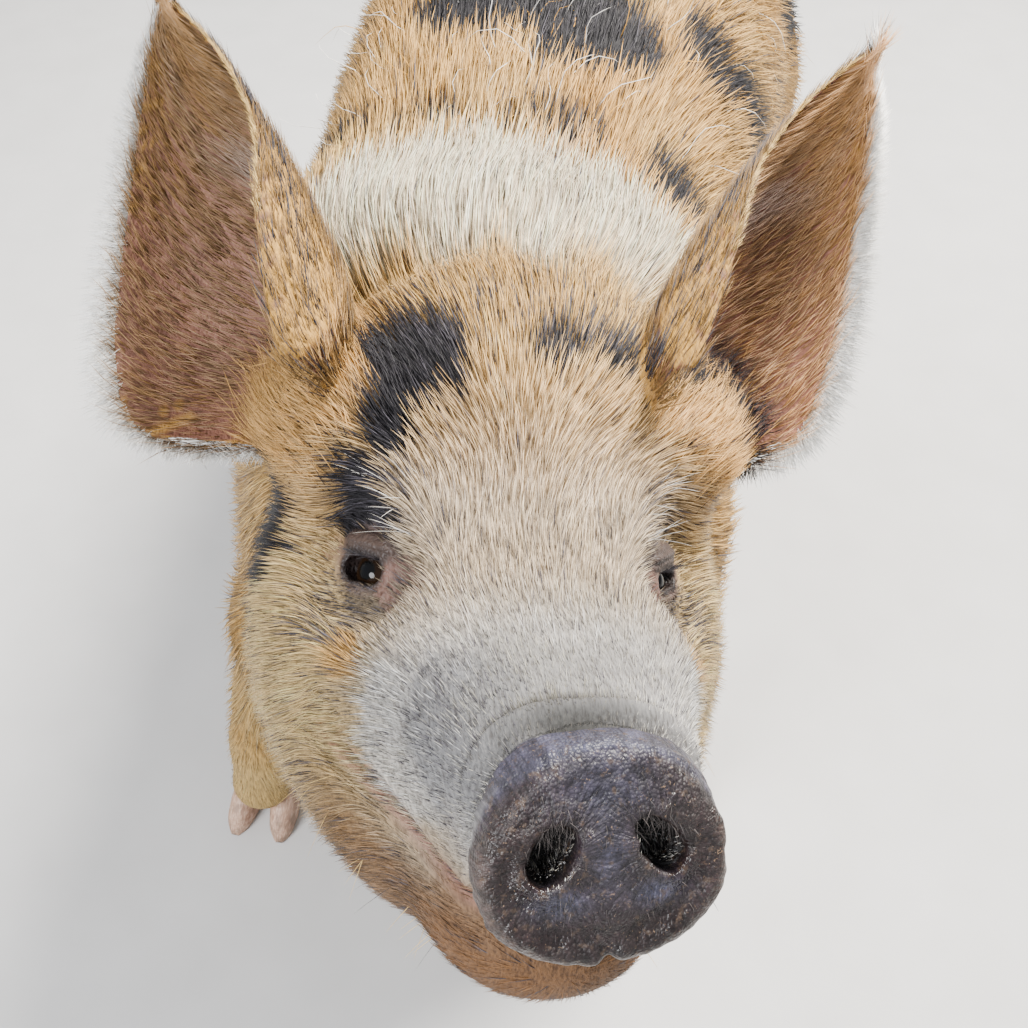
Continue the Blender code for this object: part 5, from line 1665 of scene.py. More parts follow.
def ear_coat(name, skin_points, skin_triangles):
    """Long pale hair inside an ear, hair on its back and over its root, and the white fringe round it."""
    back, inner = ear_grids(name, EAR_ROWS, EAR_COLUMNS)
    middle = (back + inner) / 2
    faces, side = np.array(EARS[name][2], float), EARS[name][3]
    grids = {"inner": (inner, faces), "back": (back, -faces), "middle": (middle, faces)}
    steps = np.linalg.norm(np.diff(middle, axis=1), axis=2)
    spans = np.concatenate([np.zeros((EAR_ROWS, 1)), np.cumsum(steps, axis=1)], 1)[..., None]
    parts = []
    for number, (kind, sheet, count, long, shares, wide, high, rings) in enumerate(EAR_HAIRS):
        grid, towards = grids[sheet]
        draw = np.random.default_rng(EAR_SEEDS[0 if side < 0 else 1] + number)
        edge = sheet == "middle"
        t, s = ear_roots(kind, int(count * THINNER), draw)
        row, column = t * (EAR_ROWS - 1), s * (EAR_COLUMNS - 1)
        flow, up = grid_flow(grid, grid_normals(grid, towards), row, column, *ear_headings(kind, side, t, s))
        from_inner = spot_on(spans, row, column)[:, 0]
        outside = in_chunks(smooth_skin, flow[0]) > (-0.002 if edge else 0.0015)
        flow, up, from_inner = flow[:, outside], up[:, outside], from_inner[outside]
        t, s = t[outside], s[outside]
        count = len(t)
        uneven = (0.82 + 0.34 * draw.random(count))[:, None]
        black = markings(flow[0])[1] * (1 - rise(t, 0.16, 0.36))
        tip, base, black = ear_tones(kind, side, t, s, from_inner, black)
        length = long * (shares[0] + shares[1] * draw.random(count))
        if kind in INNER_KINDS:
            length = length * (0.85 + 0.30 * tuft_share(t, from_inner))
        dark = (draw.random(count) < black)[:, None]
        tip = np.where(dark, BLACK * (5 if kind in BACK_KINDS else 2), np.minimum(tip * uneven, PALEST))
        base = np.where(dark, BLACK * 2, base * uneven)
        half = 0.5 if kind in BACK_KINDS else 0.0
        spots = np.column_stack([0.02 + 0.46 * s + half, 0.02 + 0.96 * t])
        height = high * (draw.random(count) * 2 - 1) if edge else np.full(count, high)
        width = wide * (0.75 + 0.5 * draw.random(count)) / math.sqrt(THINNER)
        parts.append(hairs(flow, up, length, width, height, (base, tip), spots, draw, rings, 0.16, 0.26))
    parts.append(ear_root_coat(name, skin_points, skin_triangles))
    coat_pieces("coat_" + name, parts)


def ear_root_coat(name, skin_points, skin_triangles):
    """Long golden hair over the place where an ear rises from the crown, lying up along the ear."""
    side = EARS[name][3]
    draw = np.random.default_rng(360 + side)
    folded = to_head(skin_points) * np.array([side, 1, 1])
    near = np.zeros(len(skin_points))
    for middle, radii in EAR_SWELLINGS:
        reach = np.linalg.norm((folded - np.array(middle)) / (np.array(radii) + 0.014), axis=1)
        near = np.maximum(near, 1 - rise(reach, 0.85, 1.15))
    density = EAR_ROOT_DENSITY * near * THINNER
    chosen = (density > 0)[skin_triangles].any(1)
    corners, weights = picked(skin_triangles[chosen], skin_points, density, draw)
    root = mixed(skin_points, corners, weights)
    count = len(root)
    first, second, third = (skin_points[corners[:, k]] for k in range(3))
    up = unit(np.cross(second - first, third - first), 1e-12)
    heading = np.array(EARS[name][1]) - np.array(HEAD_FRAME @ Vector(EARS[name][0]))
    heading = np.tile(heading / np.linalg.norm(heading), (count, 1)) + np.array([0.35 * side, 0, 0])
    heading = laid_along(heading, up)
    places = root[None] + STATION_REACH[:, None, None] * (heading + 0.10 * up)[None]
    ups = np.repeat(up[None], len(STATION_REACH), 0)
    dark = draw.random(count) < np.maximum(markings(root)[1], 0.06)
    shade = (0.78 + 0.38 * draw.random(count))[:, None]
    tip = np.where(dark[:, None], BLACK * 2.4, (GOLD * 0.98 + WHITE * 0.12) * shade)
    length = 0.022 * (0.6 + 0.8 * draw.random(count))
    width = 0.00056 * (0.75 + 0.5 * draw.random(count)) / math.sqrt(THINNER)
    spot = folded[corners[:, 0]]
    spots = 0.02 + 0.94 * np.clip(np.column_stack([spot[:, 0] / 0.16, spot[:, 2] / 0.14]), 0, 1)
    colours = (tip * 0.34, np.minimum(tip, PALEST))
    return hairs(places, ups, length, width, np.full(count, 0.0060), colours, spots, draw, 2, 0.2, 0.35)


def tail_coat():
    """Hair along the tail and the switch at its tip."""
    grid = tail_grid()
    grid = np.concatenate([grid, grid[:, :1]], 1)
    rows, columns = grid.shape[:2]
    draw = np.random.default_rng(500)
    count = int(TAIL_HAIRS * THINNER)
    t = 1 - draw.random(count) ** 1.3
    row, column = t * (rows - 1), draw.random(count) * (columns - 1)
    normals = unit(grid - grid.mean(1, keepdims=True))
    flow, up = grid_flow(grid, normals, row, column, np.ones(count), np.full(count, 0.15))
    outside = in_chunks(smooth_skin, flow[0]) > 0.001
    flow, up, t = flow[:, outside], up[:, outside], t[outside]
    count = len(t)
    colour, _ = markings(flow[0])
    dark = draw.random(count) < 0.15 + 0.4 * rise(t, 0.55, 0.8)
    tip = np.where(dark[:, None], BLACK * 3, colour * 0.8 + 0.2 * WHITE)
    length = 0.012 + 0.024 * rise(t, 0.55, 0.95) * (0.5 + draw.random(count))
    spots = np.column_stack([0.02 + 0.96 * column[outside] / (columns - 1), 0.02 + 0.96 * t])
    height = 0.003 + 0.004 * rise(t, 0.6, 1.0)
    width = np.full(count, 0.0011) / math.sqrt(THINNER)
    part = hairs(flow, up, length, width, height, (tip * 0.6, tip), spots, draw, 3, 0.3, 0.3)
    coat_pieces("coat_tail", [part])


def long_hairs(name, kind, roots, headings, lengths, width, colours, droop, curl, draw):
    """Single long bristles that bow and curl, each with five rings and a tip."""
    count = len(roots)
    share = np.linspace(0, 1, 6)
    headings = unit(headings)
    side = unit(np.cross(headings, draw.normal(size=(count, 3))))
    other = np.cross(headings, side)
    turn = draw.random(count) * 2 * math.pi
    lines = []
    for part in share:
        reach = (lengths * part)[:, None]
        angle = turn + curl * part * 5
        swing = (lengths * 0.14 * curl * part)[:, None]
        bow = side * np.cos(angle)[:, None] + other * np.sin(angle)[:, None] - side * np.cos(turn)[:, None]
        sag = droop * (reach**2) * np.array([0, 0, -1.0]) / lengths[:, None]
        lines.append(roots + headings * reach + swing * bow + sag)
    lines = np.array(lines)
    along = unit(np.gradient(lines, axis=0))
    across = unit(np.cross(along, side[None]))
    halves_wide = [np.full(count, 0.5 * width * (1 - 0.75 * part)) for part in share[:-1]]
    points = taper_points(lines, across, np.cross(along, across), halves_wide, 0.5, 1.0)
    rings = len(share) - 1
    colours = np.repeat(colours, 3 * rings + 1, 0)
    uvs = taper_uvs(spots_on_map(kind, roots), share)
    coat_pieces(name, [(points, taper_faces(rings, count), colours, uvs)])


def back_bristles():
    """Sparse long curly bristles along the top of the back."""
    draw = np.random.default_rng(700)
    count = int(BACK_BRISTLES * max(THINNER, 0.6))
    angle = np.radians(draw.normal(0, 34, count))
    y = draw.uniform(-0.27, 0.28, count)
    roots = np.column_stack([0.24 * np.sin(angle), y, 0.42 + 0.24 * np.cos(angle)])
    roots = settled(smooth_skin, roots, 6)
    up = normals_of(smooth_skin, roots)
    lie = laid_along(lie_of(roots), up)
    wild = draw.normal(size=(count, 3)) * 0.45
    headings = lie + up * draw.uniform(0.25, 0.75, count)[:, None] + wild
    lengths = draw.uniform(0.030, 0.062, count)
    tone = np.where(draw.random(count)[:, None] < 0.8, WHITE * 0.95, GOLD * 1.1)
    roots = roots - up * 0.001
    long_hairs(
        "bristles_back", "back", roots, headings, lengths, 0.00075, tone, 0.35, 1.0, draw,
    )


def drawn(draw, ranges):
    """A number for each range, drawn from it where it is a pair and taken as it is where it is one number."""
    return np.array([draw.uniform(*one) if np.ndim(one) else one for one in ranges])


def head_bristles(name, grown, width, rounds, curl, draw):
    """Bristles on the skin of the head from their spots, headings, lengths and tones in its frame."""
    spots, headings, lengths, tones = (np.array(values) for values in zip(*grown))
    turn = np.array(HEAD_FRAME)[:3, :3]
    roots = settled(skin_field, spots @ turn.T + np.array(EYES_MIDDLE), rounds)
    long_hairs(name, "head", roots, headings @ turn.T, lengths, width, tones, 0.2, curl, draw)


def lashes_and_whiskers():
    """Lashes over the eyes, brow bristles and a few whiskers on lips, chin and cheeks."""
    draw = np.random.default_rng(710)
    axes = lid_axes()
    grown = []
    for side, height in zip((-1, 1), SLIT_HALF_HEIGHTS):
        flip = np.array([side, 1, 1])
        for k in range(LASHES[0] + LASHES[1]):
            upper = k < LASHES[0]
            along = draw.uniform(-0.0115, 0.0090)
            above = (height + 0.0006) * (1 if upper else -1)
            spot = np.array(EYE_PLACE) + axes @ np.array([along, LID_RADIUS, above])
            out = axes @ np.array([25 * along - 0.2, 0.75, 0.15 if upper else -0.7])
            out = out + draw.normal(size=3) * 0.14
            length = draw.uniform(0.006, 0.013) if upper else draw.uniform(0.002, 0.004)
            grown.append((spot * flip, out * flip, length, BLACK * (2.5 if draw.random() < 0.85 else 5.0)))
        for count, spot, heading, length, tone in WHISKERS:
            for _ in range(count):
                spots, headings = drawn(draw, spot) * flip, drawn(draw, heading) * flip
                grown.append((spots, headings, draw.uniform(*length), tone(draw)))
    head_bristles("lashes_whiskers", grown, 0.00030, 5, 0.25, draw)


def nostril_hairs():
    """Short dark stubble over and round the nostrils."""
    draw = np.random.default_rng(720)
    tipped = np.array(nose_axes())
    grown = []
    for k in range(NOSTRIL_HAIRS[0] + NOSTRIL_HAIRS[1]):
        side = draw.choice((-1, 1))
        over = k < NOSTRIL_HAIRS[0]
        x = side * (NOSTRIL_SPREAD + draw.normal(-0.001 if over else 0, 0.0060 if over else 0.0110))
        z = NOSTRIL_HEIGHT + draw.uniform(0.006, 0.018) if over else draw.uniform(-0.026, 0.034)
        spot = np.array(NOSE_MIDDLE) + tipped @ np.array([x, -NOSE_HALF_DEPTH, z])
        spread = draw.normal(size=3) * (0.45 if over else 0.25)
        heading = tipped @ np.array([0.35 * side * draw.random(), -0.25, -0.9]) + spread
        length = draw.uniform(0.004, 0.0095) if over else draw.uniform(0.0015, 0.0040)
        tone = STUBBLE * draw.uniform(0.3, 2.0) * (2.0 if draw.random() < 0.15 else 1.0)
        grown.append((spot, heading, length, tone))
    head_bristles("nose_stubble", grown, 0.00026, 4, 0.2, draw)


def skin_material():
    """Skin with combed hair lines, bare wrinkled skin round the eyes, and the damp grained nose."""
    made, tree, shader, place = new_material("skin")
    tint, comb = attribute(tree, "tint", "Color"), attribute(tree, "comb", "Vector")
    nose, bare, wet = (attribute(tree, name) for name in ("nose", "bare", "wet"))
    hair = noise(tree, comb, 1.0, 3.0)
    mottle = noise(tree, place, 420.0, 4.0)
    broad = noise(tree, place, 110.0, 5.0, Roughness=0.65)
    cells = node_in(tree, "ShaderNodeTexVoronoi", {"Vector": place, "Scale": 760.0, "Randomness": 1.0})
    cells = cells.outputs["Distance"]
    furry = ramp(tree, hair, [(0.30, (0.45, 0.42, 0.40)), (0.50, 0.90), (0.70, (1.20, 1.18, 1.15))])
    furry = blended(tree, 1.0, tint, furry, "MULTIPLY")
    skinny = ramp(tree, mottle, [(0.3, (0.74, 0.70, 0.70)), (0.7, (1.25, 1.20, 1.20))])
    furry = blended(tree, bare, furry, blended(tree, 1.0, tint, skinny, "MULTIPLY"))
    tones = [(0.30, (0.50, 0.46, 0.44)), (0.52, (0.95, 0.93, 0.93)), (0.72, (1.65, 1.60, 1.65))]
    patchy = ramp(tree, broad, tones)
    hide = blended(tree, 1.0, tint, patchy, "MULTIPLY")
    wrinkle = ramp(tree, hair, [(0.32, (0.42, 0.40, 0.40)), (0.50, 0.95), (0.68, (1.40, 1.38, 1.40))])
    hide = blended(tree, 0.85, hide, wrinkle, "MULTIPLY")
    grain = ramp(tree, cells, [(0.0, (1.30, 1.28, 1.28)), (0.45, 0.95), (0.8, (0.55, 0.52, 0.52))])
    hide = blended(tree, 0.70, hide, grain, "MULTIPLY")
    mud = spread(tree, noise(tree, place, 270.0, 4.0), (0.58, 0.68))
    specks = spread(tree, noise(tree, place, 620.0, 2.0, Distortion=1.5), (0.68, 0.73))
    hide = blended(tree, maths(tree, "MULTIPLY", mud, 0.55), hide, (0.075, 0.048, 0.032))
    hide = blended(tree, maths(tree, "MULTIPLY", specks, 0.7), hide, (0.22, 0.14, 0.085))
    damp = spread(tree, mottle, (0.35, 0.65), (0.34, 0.62))
    rough = level_mix(tree, nose, level_mix(tree, bare, 0.78, 0.55), damp)
    inputs = {"Vector": place, "Scale": 380.0}
    creases = node_in(tree, "ShaderNodeTexVoronoi", inputs, feature="DISTANCE_TO_EDGE")
    creases = creases.outputs["Distance"]
    height = level_mix(tree, bare, hair, maths(tree, "MULTIPLY", creases, 1.2))
    pebble = maths(tree, "SUBTRACT", maths(tree, "MULTIPLY", hair, 1.5), maths(tree, "MULTIPLY", cells, 0.7))
    bump = node_in(tree, "ShaderNodeBump", {
        "Distance": 0.0011, "Height": level_mix(tree, nose, height, pebble),
        "Strength": level_mix(tree, nose, 0.80, 0.62),
    })
    feed(tree, shader, {
        "Base Color": blended(tree, nose, furry, hide), "Roughness": level_mix(tree, wet, rough, 0.12),
        "Normal": bump.outputs["Normal"], "Specular IOR Level": 0.4,
    })
    return made


def comb_space(points):
    """A place for each point in which hairs run along one axis, and nose wrinkles out from the nostrils."""
    local = to_head(points)
    head = np.column_stack([local[:, 0] * 900, local[:, 1] * 90, local[:, 2] * 500 - local[:, 1] * 60])
    body = np.column_stack([points[:, 0] * 650, points[:, 1] * 60, points[:, 2] * 650])
    leg = np.column_stack([points[:, 0] * 650, points[:, 1] * 650, points[:, 2] * 60])
    past = rise(local[:, 1], 0.090, 0.130)[:, None]
    low = rise(-points[:, 2], -0.260, -0.200)[:, None]
    combed = (head * (1 - past) + body * past) * (1 - low) + leg * low
    disc, _ = nose_place(local)
    hole = nostril_reach(disc)
    reach = np.hypot(hole[:, 0], hole[:, 2])
    turn = np.arctan2(hole[:, 2], hole[:, 0])
    fan = np.column_stack([16 * np.cos(turn), 16 * np.sin(turn), 190 * reach])
    return np.where((disc_field(local) < 0.009)[:, None], fan, combed)


def nose_tint(disc, outer):
    """The nose's colours: dark brown-grey, bluer above, between and under the nostrils and on its rim, the
    blue partly the skin's own and partly painted reflection of the sky.
    """
    folded = mirrored(disc)
    top = groove(disc[:, 0], 0.022) * rise(disc[:, 2], 0.012, 0.026)
    between = groove(disc[:, 0], 0.0085) * groove(disc[:, 2] - 0.004, 0.016)
    # Painted reflection of the sky on the damp skin under the nostrils
    under = groove(folded[:, 0] - 0.019, 0.010) * groove(disc[:, 2] + 0.0135, 0.0055)
    collar = rise(outer, 0.98, 1.04) * rise(disc[:, 2], 0.00, 0.02)
    blue = np.clip(0.50 * top + 0.60 * between + 0.85 * under + 0.55 * collar, 0, 1)
    low = (rise(-disc[:, 2], 0.018, 0.036) * (1 - collar))[:, None]
    colour = toned(np.tile(NOSE, (len(disc), 1)), blue, NOSE_BLUE_AND_SHEEN)
    # A paler brown line round the lower rim of the disc
    rim_tone = groove(outer - 0.97, 0.05) * (1 - rise(disc[:, 2], 0.0, 0.02))
    return toned(colour, 0.5 * rim_tone, NOSE_RIM_TONE) * (1 - 0.25 * low)


def ear_flesh(points, ears, tint, bare):
    """The tint and the bare share with the ears' flesh, golden at its root and on its back."""
    flesh = PINK * (0.88 + 0.24 * cloud(points, 0.020, 12))[:, None]
    flesh = toned(flesh, 0.5 * rise(-cloud(points, 0.030, 13), -0.2, 0.7), DEEP_PINK)
    # Painted light and shade: the flesh of the pig's left ear is made brighter than that of the right
    flesh = flesh * np.where(points[:, :1] > 0.06, 1.45, 1.0)
    rooted = np.zeros(len(points))
    rooted[ears] = rise(-in_chunks(smooth_skin, points[ears]), -0.016, -0.006)
    flesh = toned(flesh, rooted, GOLD * 0.36)
    tint = np.where(ears[:, None], flesh, tint)
    bare = np.where(ears, 0.6, bare)
    for name in EARS:
        back, inner = (sheet.reshape(-1, 3) for sheet in ear_grids(name, 40, 28))
        side = EARS[name][3]
        index = np.where(ears & (points[:, 0] * side > 0.06 * side))[0]
        outside = nearest_distance(points[index], back) < nearest_distance(points[index], inner)
        tint[index[outside]] = GOLD * 0.60 + CREAM * 0.15
        bare[index[outside]] = 0.1
    return tint, bare


def face_tint(points, local, tint):
    """The tint with the skin of the eyelids and lips, and the bare share of each point."""
    folded = mirrored(local)
    along, above, out = lid_place(local)
    by_eye = 1 - rise(eye_distance(local), 0.030, 0.036)
    bare = (1 - rise(bare_reach(along, above), 1.0, 1.7)) * by_eye
    corner = patch(folded, (0.058, -0.022, 0.004), (0.018, 0.018, 0.014), 0.15 * cloud(points, 0.006, 9))
    bare = np.maximum(bare, 0.75 * corner)
    tint = toned(tint, 0.88 * bare, BARE)
    flushed = 0.55 * corner + 0.5 * patch(folded, (0.091, 0.020, 0.000), (0.007, 0.007, 0.009), 0.0)
    tint = toned(tint, flushed, FLUSHED)
    hood = rise(above, 0.003, 0.007) * (1 - rise(above, 0.016, 0.023))
    hood = hood * (1 - rise(np.abs(along), 0.012, 0.019))
    tint = toned(tint, 0.9 * hood * by_eye, HOOD)
    tint = toned(tint, (1 - rise(out, 0.0010, 0.0042)) * by_eye, LID_RIM)
    lips = groove(local[:, 2] - mouth_level(local), 0.005) * rise(-local[:, 1], 0.030, 0.050)
    lips = 0.8 * lips * (local[:, 1] < 0.0) * (1 - past_head(points))
    return toned(tint, lips, LIPS), np.maximum(bare, lips)


def nostril_shares(points, local, disc, nose):
    """How deep each point is in a nostril, and how wet it is there, on the nose and at the eyes' rims."""
    pocket = nostril_reach(disc)
    deep = (np.abs(pocket[:, 0]) < 0.009) & (np.abs(pocket[:, 2]) < 0.013)
    deep = deep & (pocket[:, 1] > 0.0020) & (pocket[:, 1] < 0.03)
    hole = deep * rise(pocket[:, 1], 0.002, 0.007)
    lick = (pocket - np.array([0.001, 0.0, -0.0165])) / np.array([0.011, 0.010, 0.0065])
    wet = 0.85 * (1 - rise(np.linalg.norm(lick, axis=1), 0.6, 1.15)) * nose
    lid_edge = (1 - rise(lid_place(local)[2], 0.0000, 0.0012)) * (1 - rise(eye_distance(local), 0.030, 0.036))
    wet = np.maximum(wet, 0.35 * lid_edge)
    return hole, np.maximum(wet, 0.35 * nose * rise(cloud(points, 0.010, 15), 0.35, 0.7))


def skin_object(points, triangles, own):
    """The one skin, with its colour, nose, bare and wet shares on each point."""
    mesh = mesh_from("skin", points + np.array(MIDDLE_SHIFT), triangles)
    colour, black = markings(points)
    local = to_head(points)
    muzzle = rise(-local[:, 1], 0.050, 0.110) * rise(local[:, 2], -0.045, -0.010)
    # The skin under the coat is the coat's colour darkened, partly as the skin's own darker colour and partly
    # as painted shade between the hairs
    tint = toned(colour * 0.44, 0.6 * muzzle, MUZZLE_SKIN)
    tint = toned(tint, np.clip(black + 0.5 * salt(points), 0, 1), BLACK * 1.2)
    tint, bare = face_tint(points, local, tint)
    disc, outer = nose_place(local)
    upper = rise(disc[:, 2], 0.008, 0.034)
    behind = crease_behind(disc)
    nose = 1 - rise(disc_field(local), 0.0030, 0.0070)
    nose = nose * np.maximum(upper, 1 - rise(disc[:, 1], 0.002, 0.008))
    on_disc = upper * (1 - rise(behind, -0.0010, 0.0008)) * (outer < 1.5) * (disc[:, 1] < 0.03)
    nose = np.maximum(nose, on_disc)
    tint = toned(tint, nose, nose_tint(disc, outer))
    # Painted shade darkening the skin in and just behind the crease over the nose disc
    roll = groove(behind - 0.002, 0.0070) * upper * (1 - nose) * groove(disc[:, 0] + 0.004, 0.027)
    tint = toned(tint, 0.85 * roll, ROLL_SHADE)
    ears = ~own & (points[:, 2] > 0.45) & (points[:, 1] < 0.0) & (local[:, 1] > 0.020)
    tint, bare = ear_flesh(points, ears, tint, bare)
    hole, wet = nostril_shares(points, local, disc, nose)
    # Painted shade deep inside the nostrils
    tint = tint * (1 - 0.85 * hole[:, None])
    put_values(mesh, "nose", nose)
    put_values(mesh, "bare", np.clip(bare, 0, 1))
    put_values(mesh, "wet", np.clip(wet, 0, 1) * (1 - hole))
    put_values(mesh, "comb", comb_space(points))
    put_values(mesh, "tint", opaque(np.clip(tint, 0, 1)))
    mesh.materials.append(skin_material())
    made = shown("skin", mesh)
    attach(made, "root")
    flesh_nodes = ["head", "snout", "nose", "jaw", "neck", "torso", "tail", "ear_left", "ear_right", *LEGS]
    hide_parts(*flesh_nodes)


def past_head(points):
    """0 on the head and 1 behind it."""
    return rise(to_head(points)[:, 1], 0.080, 0.150)


def nearest_distance(points, others):
    """The distance from each point to the nearest of the others."""
    return np.concatenate([
        np.linalg.norm(some[:, None] - others[None], axis=2).min(1)
        for some in np.array_split(points, max(1, len(points) // 500))
    ])


def eye_material():
    """A dark moist eye: black pupil, dark brown iris and a narrow clouded white, under a clear coat."""
    made, tree, shader, place = new_material("eyeball")
    threads = noise(tree, place, 900.0, 3.0)
    uneven = maths(tree, "MULTIPLY", maths(tree, "SUBTRACT", threads, 0.5), 0.05)
    uneven = maths(tree, "ADD", attribute(tree, "gaze"), uneven)
    feed(tree, shader, {
        "Base Color": ramp(tree, uneven, IRIS), "Roughness": spread(tree, threads, wanted=(0.05, 0.14)),
        "Coat Weight": 0.12, "Coat Roughness": 0.02, "Specular IOR Level": 0.10,
    })
    return made


def eyeball(name, side, material):
    """A smooth eyeball with a bulging cornea in the place of its plain solid."""
    rows, columns = 48, 64
    axes = eye_axes() * np.array([[side], [1], [1]])
    turn = np.array(HEAD_FRAME)[:3, :3]
    look, first = turn @ axes[:, 1], turn @ axes[:, 0]
    second = np.cross(look, first)
    around = np.linspace(0, 2 * math.pi, columns, endpoint=False)
    away, around = np.meshgrid(np.linspace(0, math.pi, rows), around, indexing="ij")
    bulge = EYE_RADIUS * (0.990 + 0.030 * np.exp(-((away / 0.55) ** 2)))
    centre = np.array(HEAD_FRAME @ Vector((side * EYE_PLACE[0], *EYE_PLACE[1:])))
    wide = bulge * np.sin(away)
    points = centre + (bulge * np.cos(away))[..., None] * look
    points = points + (wide * np.cos(around))[..., None] * first + (wide * np.sin(around))[..., None] * second
    flat = points.reshape(-1, 3)
    triangles = facing_out(flat - centre, halved(ring_quads(rows, columns)))
    mesh = mesh_from(name + "_ball", flat + np.array(MIDDLE_SHIFT), triangles)
    put_values(mesh, "gaze", (away / math.pi * 2).clip(0, 1).ravel())
    mesh.materials.append(material)
    shell = bmesh.new()
    shell.from_mesh(mesh)
    bmesh.ops.remove_doubles(shell, verts=shell.verts, dist=1e-6)
    shell.to_mesh(mesh)
    shell.free()
    made = shown(name + "_ball", mesh)
    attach(made, "root")
    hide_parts(name)


def claw_material():
    """Tan horn with fine lengthwise streaks, growth rings and patches of dirt."""
    made, tree, shader, place = new_material("claw_horn")
    along = node_in(tree, "ShaderNodeMapping", {"Vector": place, "Scale": (900.0, 60.0, 300.0)})
    streak = noise(tree, along.outputs["Vector"], 1.0, 3.0)
    broad = noise(tree, place, 90.0, 4.0)
    tones = [(0.3, (0.30, 0.17, 0.11)), (0.5, (0.47, 0.29, 0.20)), (0.7, (0.60, 0.42, 0.31))]
    horn = ramp(tree, streak, tones)
    dirt = maths(tree, "MULTIPLY", spread(tree, broad, (0.50, 0.66)), 0.6)
    rings = {"Vector": place, "Scale": 160.0, "Distortion": 2.0}
    rings = node_in(tree, "ShaderNodeTexWave", rings, bands_direction="Z").outputs["Fac"]
    height = maths(tree, "ADD", maths(tree, "MULTIPLY", rings, 0.5), streak)
    bump = node_in(tree, "ShaderNodeBump", {"Strength": 0.5, "Distance": 0.0005, "Height": height})
    feed(tree, shader, {
        "Base Color": blended(tree, dirt, horn, (0.13, 0.085, 0.055)),
        "Roughness": spread(tree, broad, wanted=(0.38, 0.70)), "Normal": bump.outputs["Normal"],
    })
    return made


def claw(name, centre, heading, length, half_width, height, sole, material):
    """A smooth claw, flat underneath, in the place of its plain solid."""
    forward = np.array([math.sin(heading), -math.cos(heading), 0.0])
    across = np.array([-forward[1], forward[0], 0.0])
    share = np.linspace(0, 1, 22)
    wide, tall = (smooth_curve(share, CLAW_SHAPE[:, 0], CLAW_SHAPE[:, k]) for k in (1, 2))
    turn = np.linspace(0, math.pi, 17)
    side = np.sign(np.cos(turn)) * np.abs(np.cos(turn)) ** 0.75
    up = np.sin(turn) ** 0.85
    tuck = 1 - 0.12 * (1 - up) ** 4
    clear = CLAW_CLEARANCE if sole == 0 else 0.0
    rings = []
    for s, w, h in zip(share, wide, tall):
        ring = np.asarray(centre, float) + forward * length * s
        ring = ring + np.outer(side * tuck * half_width * w * 0.99, across)
        ring[:, 2] = sole + height * h * up * 0.985 + clear
        rings.append(ring)
    points, triangles = capped_tube(np.array(rings))
    mesh = mesh_from(name + "_horn", points + np.array(MIDDLE_SHIFT), facing_out(points, triangles))
    mesh.materials.append(material)
    made = shown(name + "_horn", mesh)
    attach(made, "root")
    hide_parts(name)


def all_claws():
    """Two claws and two dewclaws on every foot, where their solids are."""
    material = claw_material()
    for leg in LEGS:
        foot_x, foot_y = leg_joints(leg)[-1][:2]
        side = LEGS[leg][1]
        for k, which in enumerate(("outer", "inner")):
            for kind, aside, back, turns, *sizes in CLAWS:
                middle = (foot_x + side * (aside, -aside)[k], foot_y + back, 0)
                claw(f"{leg}_{kind}_{which}", middle, math.radians(side * turns[k]), *sizes, material)


# Middle of the pupil outwards to the white
IRIS = [
    (0.00, (0.002, 0.002, 0.003)), (0.22, (0.003, 0.003, 0.003)), (0.27, (0.012, 0.006, 0.003)),
    (0.46, (0.020, 0.010, 0.005)), (0.52, (0.005, 0.003, 0.002)), (0.62, (0.030, 0.018, 0.014)),
    (1.0, (0.08, 0.04, 0.03)),
]
# Share of a claw's length, of its half width and of its height
CLAW_SHAPE = np.array([
    (0.0, 0.70, 0.80), (0.30, 1.0, 1.0), (0.62, 0.94, 0.82), (0.88, 0.66, 0.50), (1.0, 0.30, 0.20),
])
# Kind, place beside and behind the foot, turns of the outer and inner one, length, half width, height, sole
CLAWS = (
    ("claw", 0.0165, 0.012, (6, -4), 0.050, 0.0128, 0.034, 0),
    ("dewclaw", 0.0200, 0.044, (14, -14), 0.026, 0.0072, 0.020, 0.040),
)
CLAW_CLEARANCE = 0.0004
FLOOR_REACH = 15
FLOOR_LEVEL = -0.0006
# Name, place, aim, size, power and colour
LAMPS = (
    ("key", (0.9, 1.0, 2.4), (0.0, -0.3, 0.5), 0.9, 300, (1.0, 0.955, 0.89)),
    ("fill", (-1.1, -2.0, 1.9), (0.0, -0.4, 0.4), 1.1, 105, (0.98, 0.98, 1.0)),
)
# The camera stands 1.0 m up, looks 50 degrees down and 9.9 degrees to the left of the body's own line
CAMERA_PLACE = (0.118, -0.899, 1.0)
CAMERA_TURN = math.radians(9.9)
CAMERA_DOWN = math.radians(50)
CAMERA_LENS = 40.8
CAMERA_SENSOR = 36


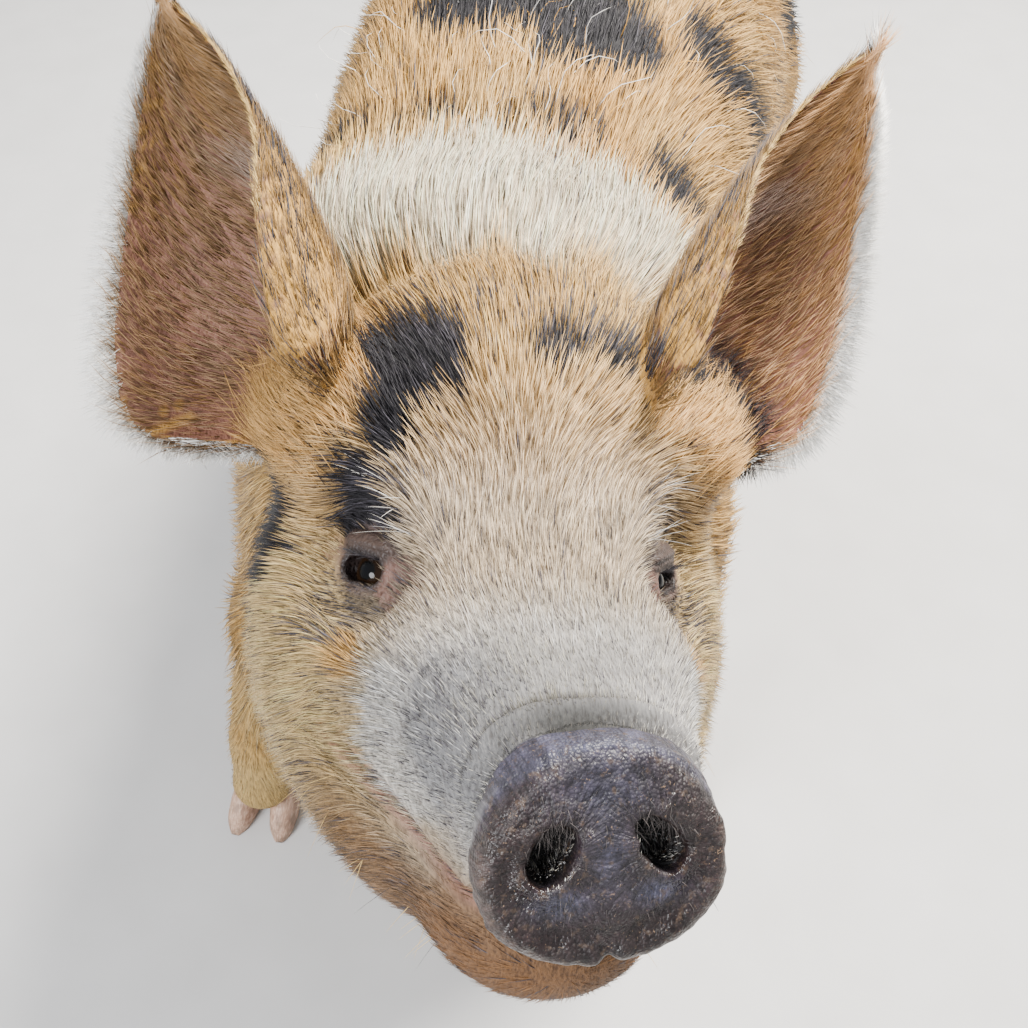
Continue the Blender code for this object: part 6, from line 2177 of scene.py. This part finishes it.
def camera():
    """The camera at the photograph's angle."""
    made = bpy.data.objects.new("camera", bpy.data.cameras.new("camera"))
    bpy.context.scene.collection.objects.link(made)
    level = math.cos(CAMERA_DOWN)
    forward = (-math.sin(CAMERA_TURN) * level, math.cos(CAMERA_TURN) * level, -math.sin(CAMERA_DOWN))
    made.location = Vector(CAMERA_PLACE) + Vector(MIDDLE_SHIFT)
    made.rotation_euler = Vector(forward).to_track_quat("-Z", "Y").to_euler()
    made.data.lens = CAMERA_LENS
    made.data.sensor_width = CAMERA_SENSOR
    made.data.clip_start = 0.02
    bpy.context.scene.camera = made


def soft_light(name, place, aim, size, power, colour):
    """A large round lamp."""
    lamp = bpy.data.lights.new(name, "AREA")
    lamp.shape = "DISK"
    lamp.size = size
    lamp.energy = power
    lamp.color = colour
    made = bpy.data.objects.new(name, lamp)
    bpy.context.scene.collection.objects.link(made)
    made.location = place
    made.rotation_euler = (Vector(aim) - Vector(place)).to_track_quat("-Z", "Y").to_euler()


def floor():
    """A plain pale floor."""
    around = ((-1, -1), (1, -1), (1, 1), (-1, 1))
    corners = [(x * FLOOR_REACH, y * FLOOR_REACH, FLOOR_LEVEL) for x, y in around]
    mesh = mesh_from("floor", corners, [[0, 1, 2, 3]], False)
    material, tree, shader, place = new_material("floor")
    tones = [(0.3, (0.56, 0.555, 0.545)), (0.7, (0.60, 0.595, 0.585))]
    pale = ramp(tree, noise(tree, place, 14.0, 5.0), tones)
    feed(tree, shader, {"Base Color": pale, "Roughness": 0.8})
    mesh.materials.append(material)
    shown("floor", mesh)


def world():
    """Even pale light from all round."""
    made = bpy.data.worlds.new("studio")
    made.use_nodes = True
    sky = {"Color": (0.90, 0.94, 1.0, 1), "Strength": 0.78}
    feed(made.node_tree, made.node_tree.nodes["Background"], sky)
    bpy.context.scene.world = made


def main():
    """Builds the dressed model and its stage."""
    points, triangles, own = whole_skin()
    skin_object(points, triangles, own)
    body_coat(points, triangles, own)
    for name in EARS:
        ear_coat(name, points, triangles)
    tail_coat()
    back_bristles()
    lashes_and_whiskers()
    nostril_hairs()
    material = eye_material()
    eyeball("eye_left", 1, material)
    eyeball("eye_right", -1, material)
    all_claws()
    camera()
    for lamp in LAMPS:
        soft_light(*lamp)
    floor()
    world()


main()
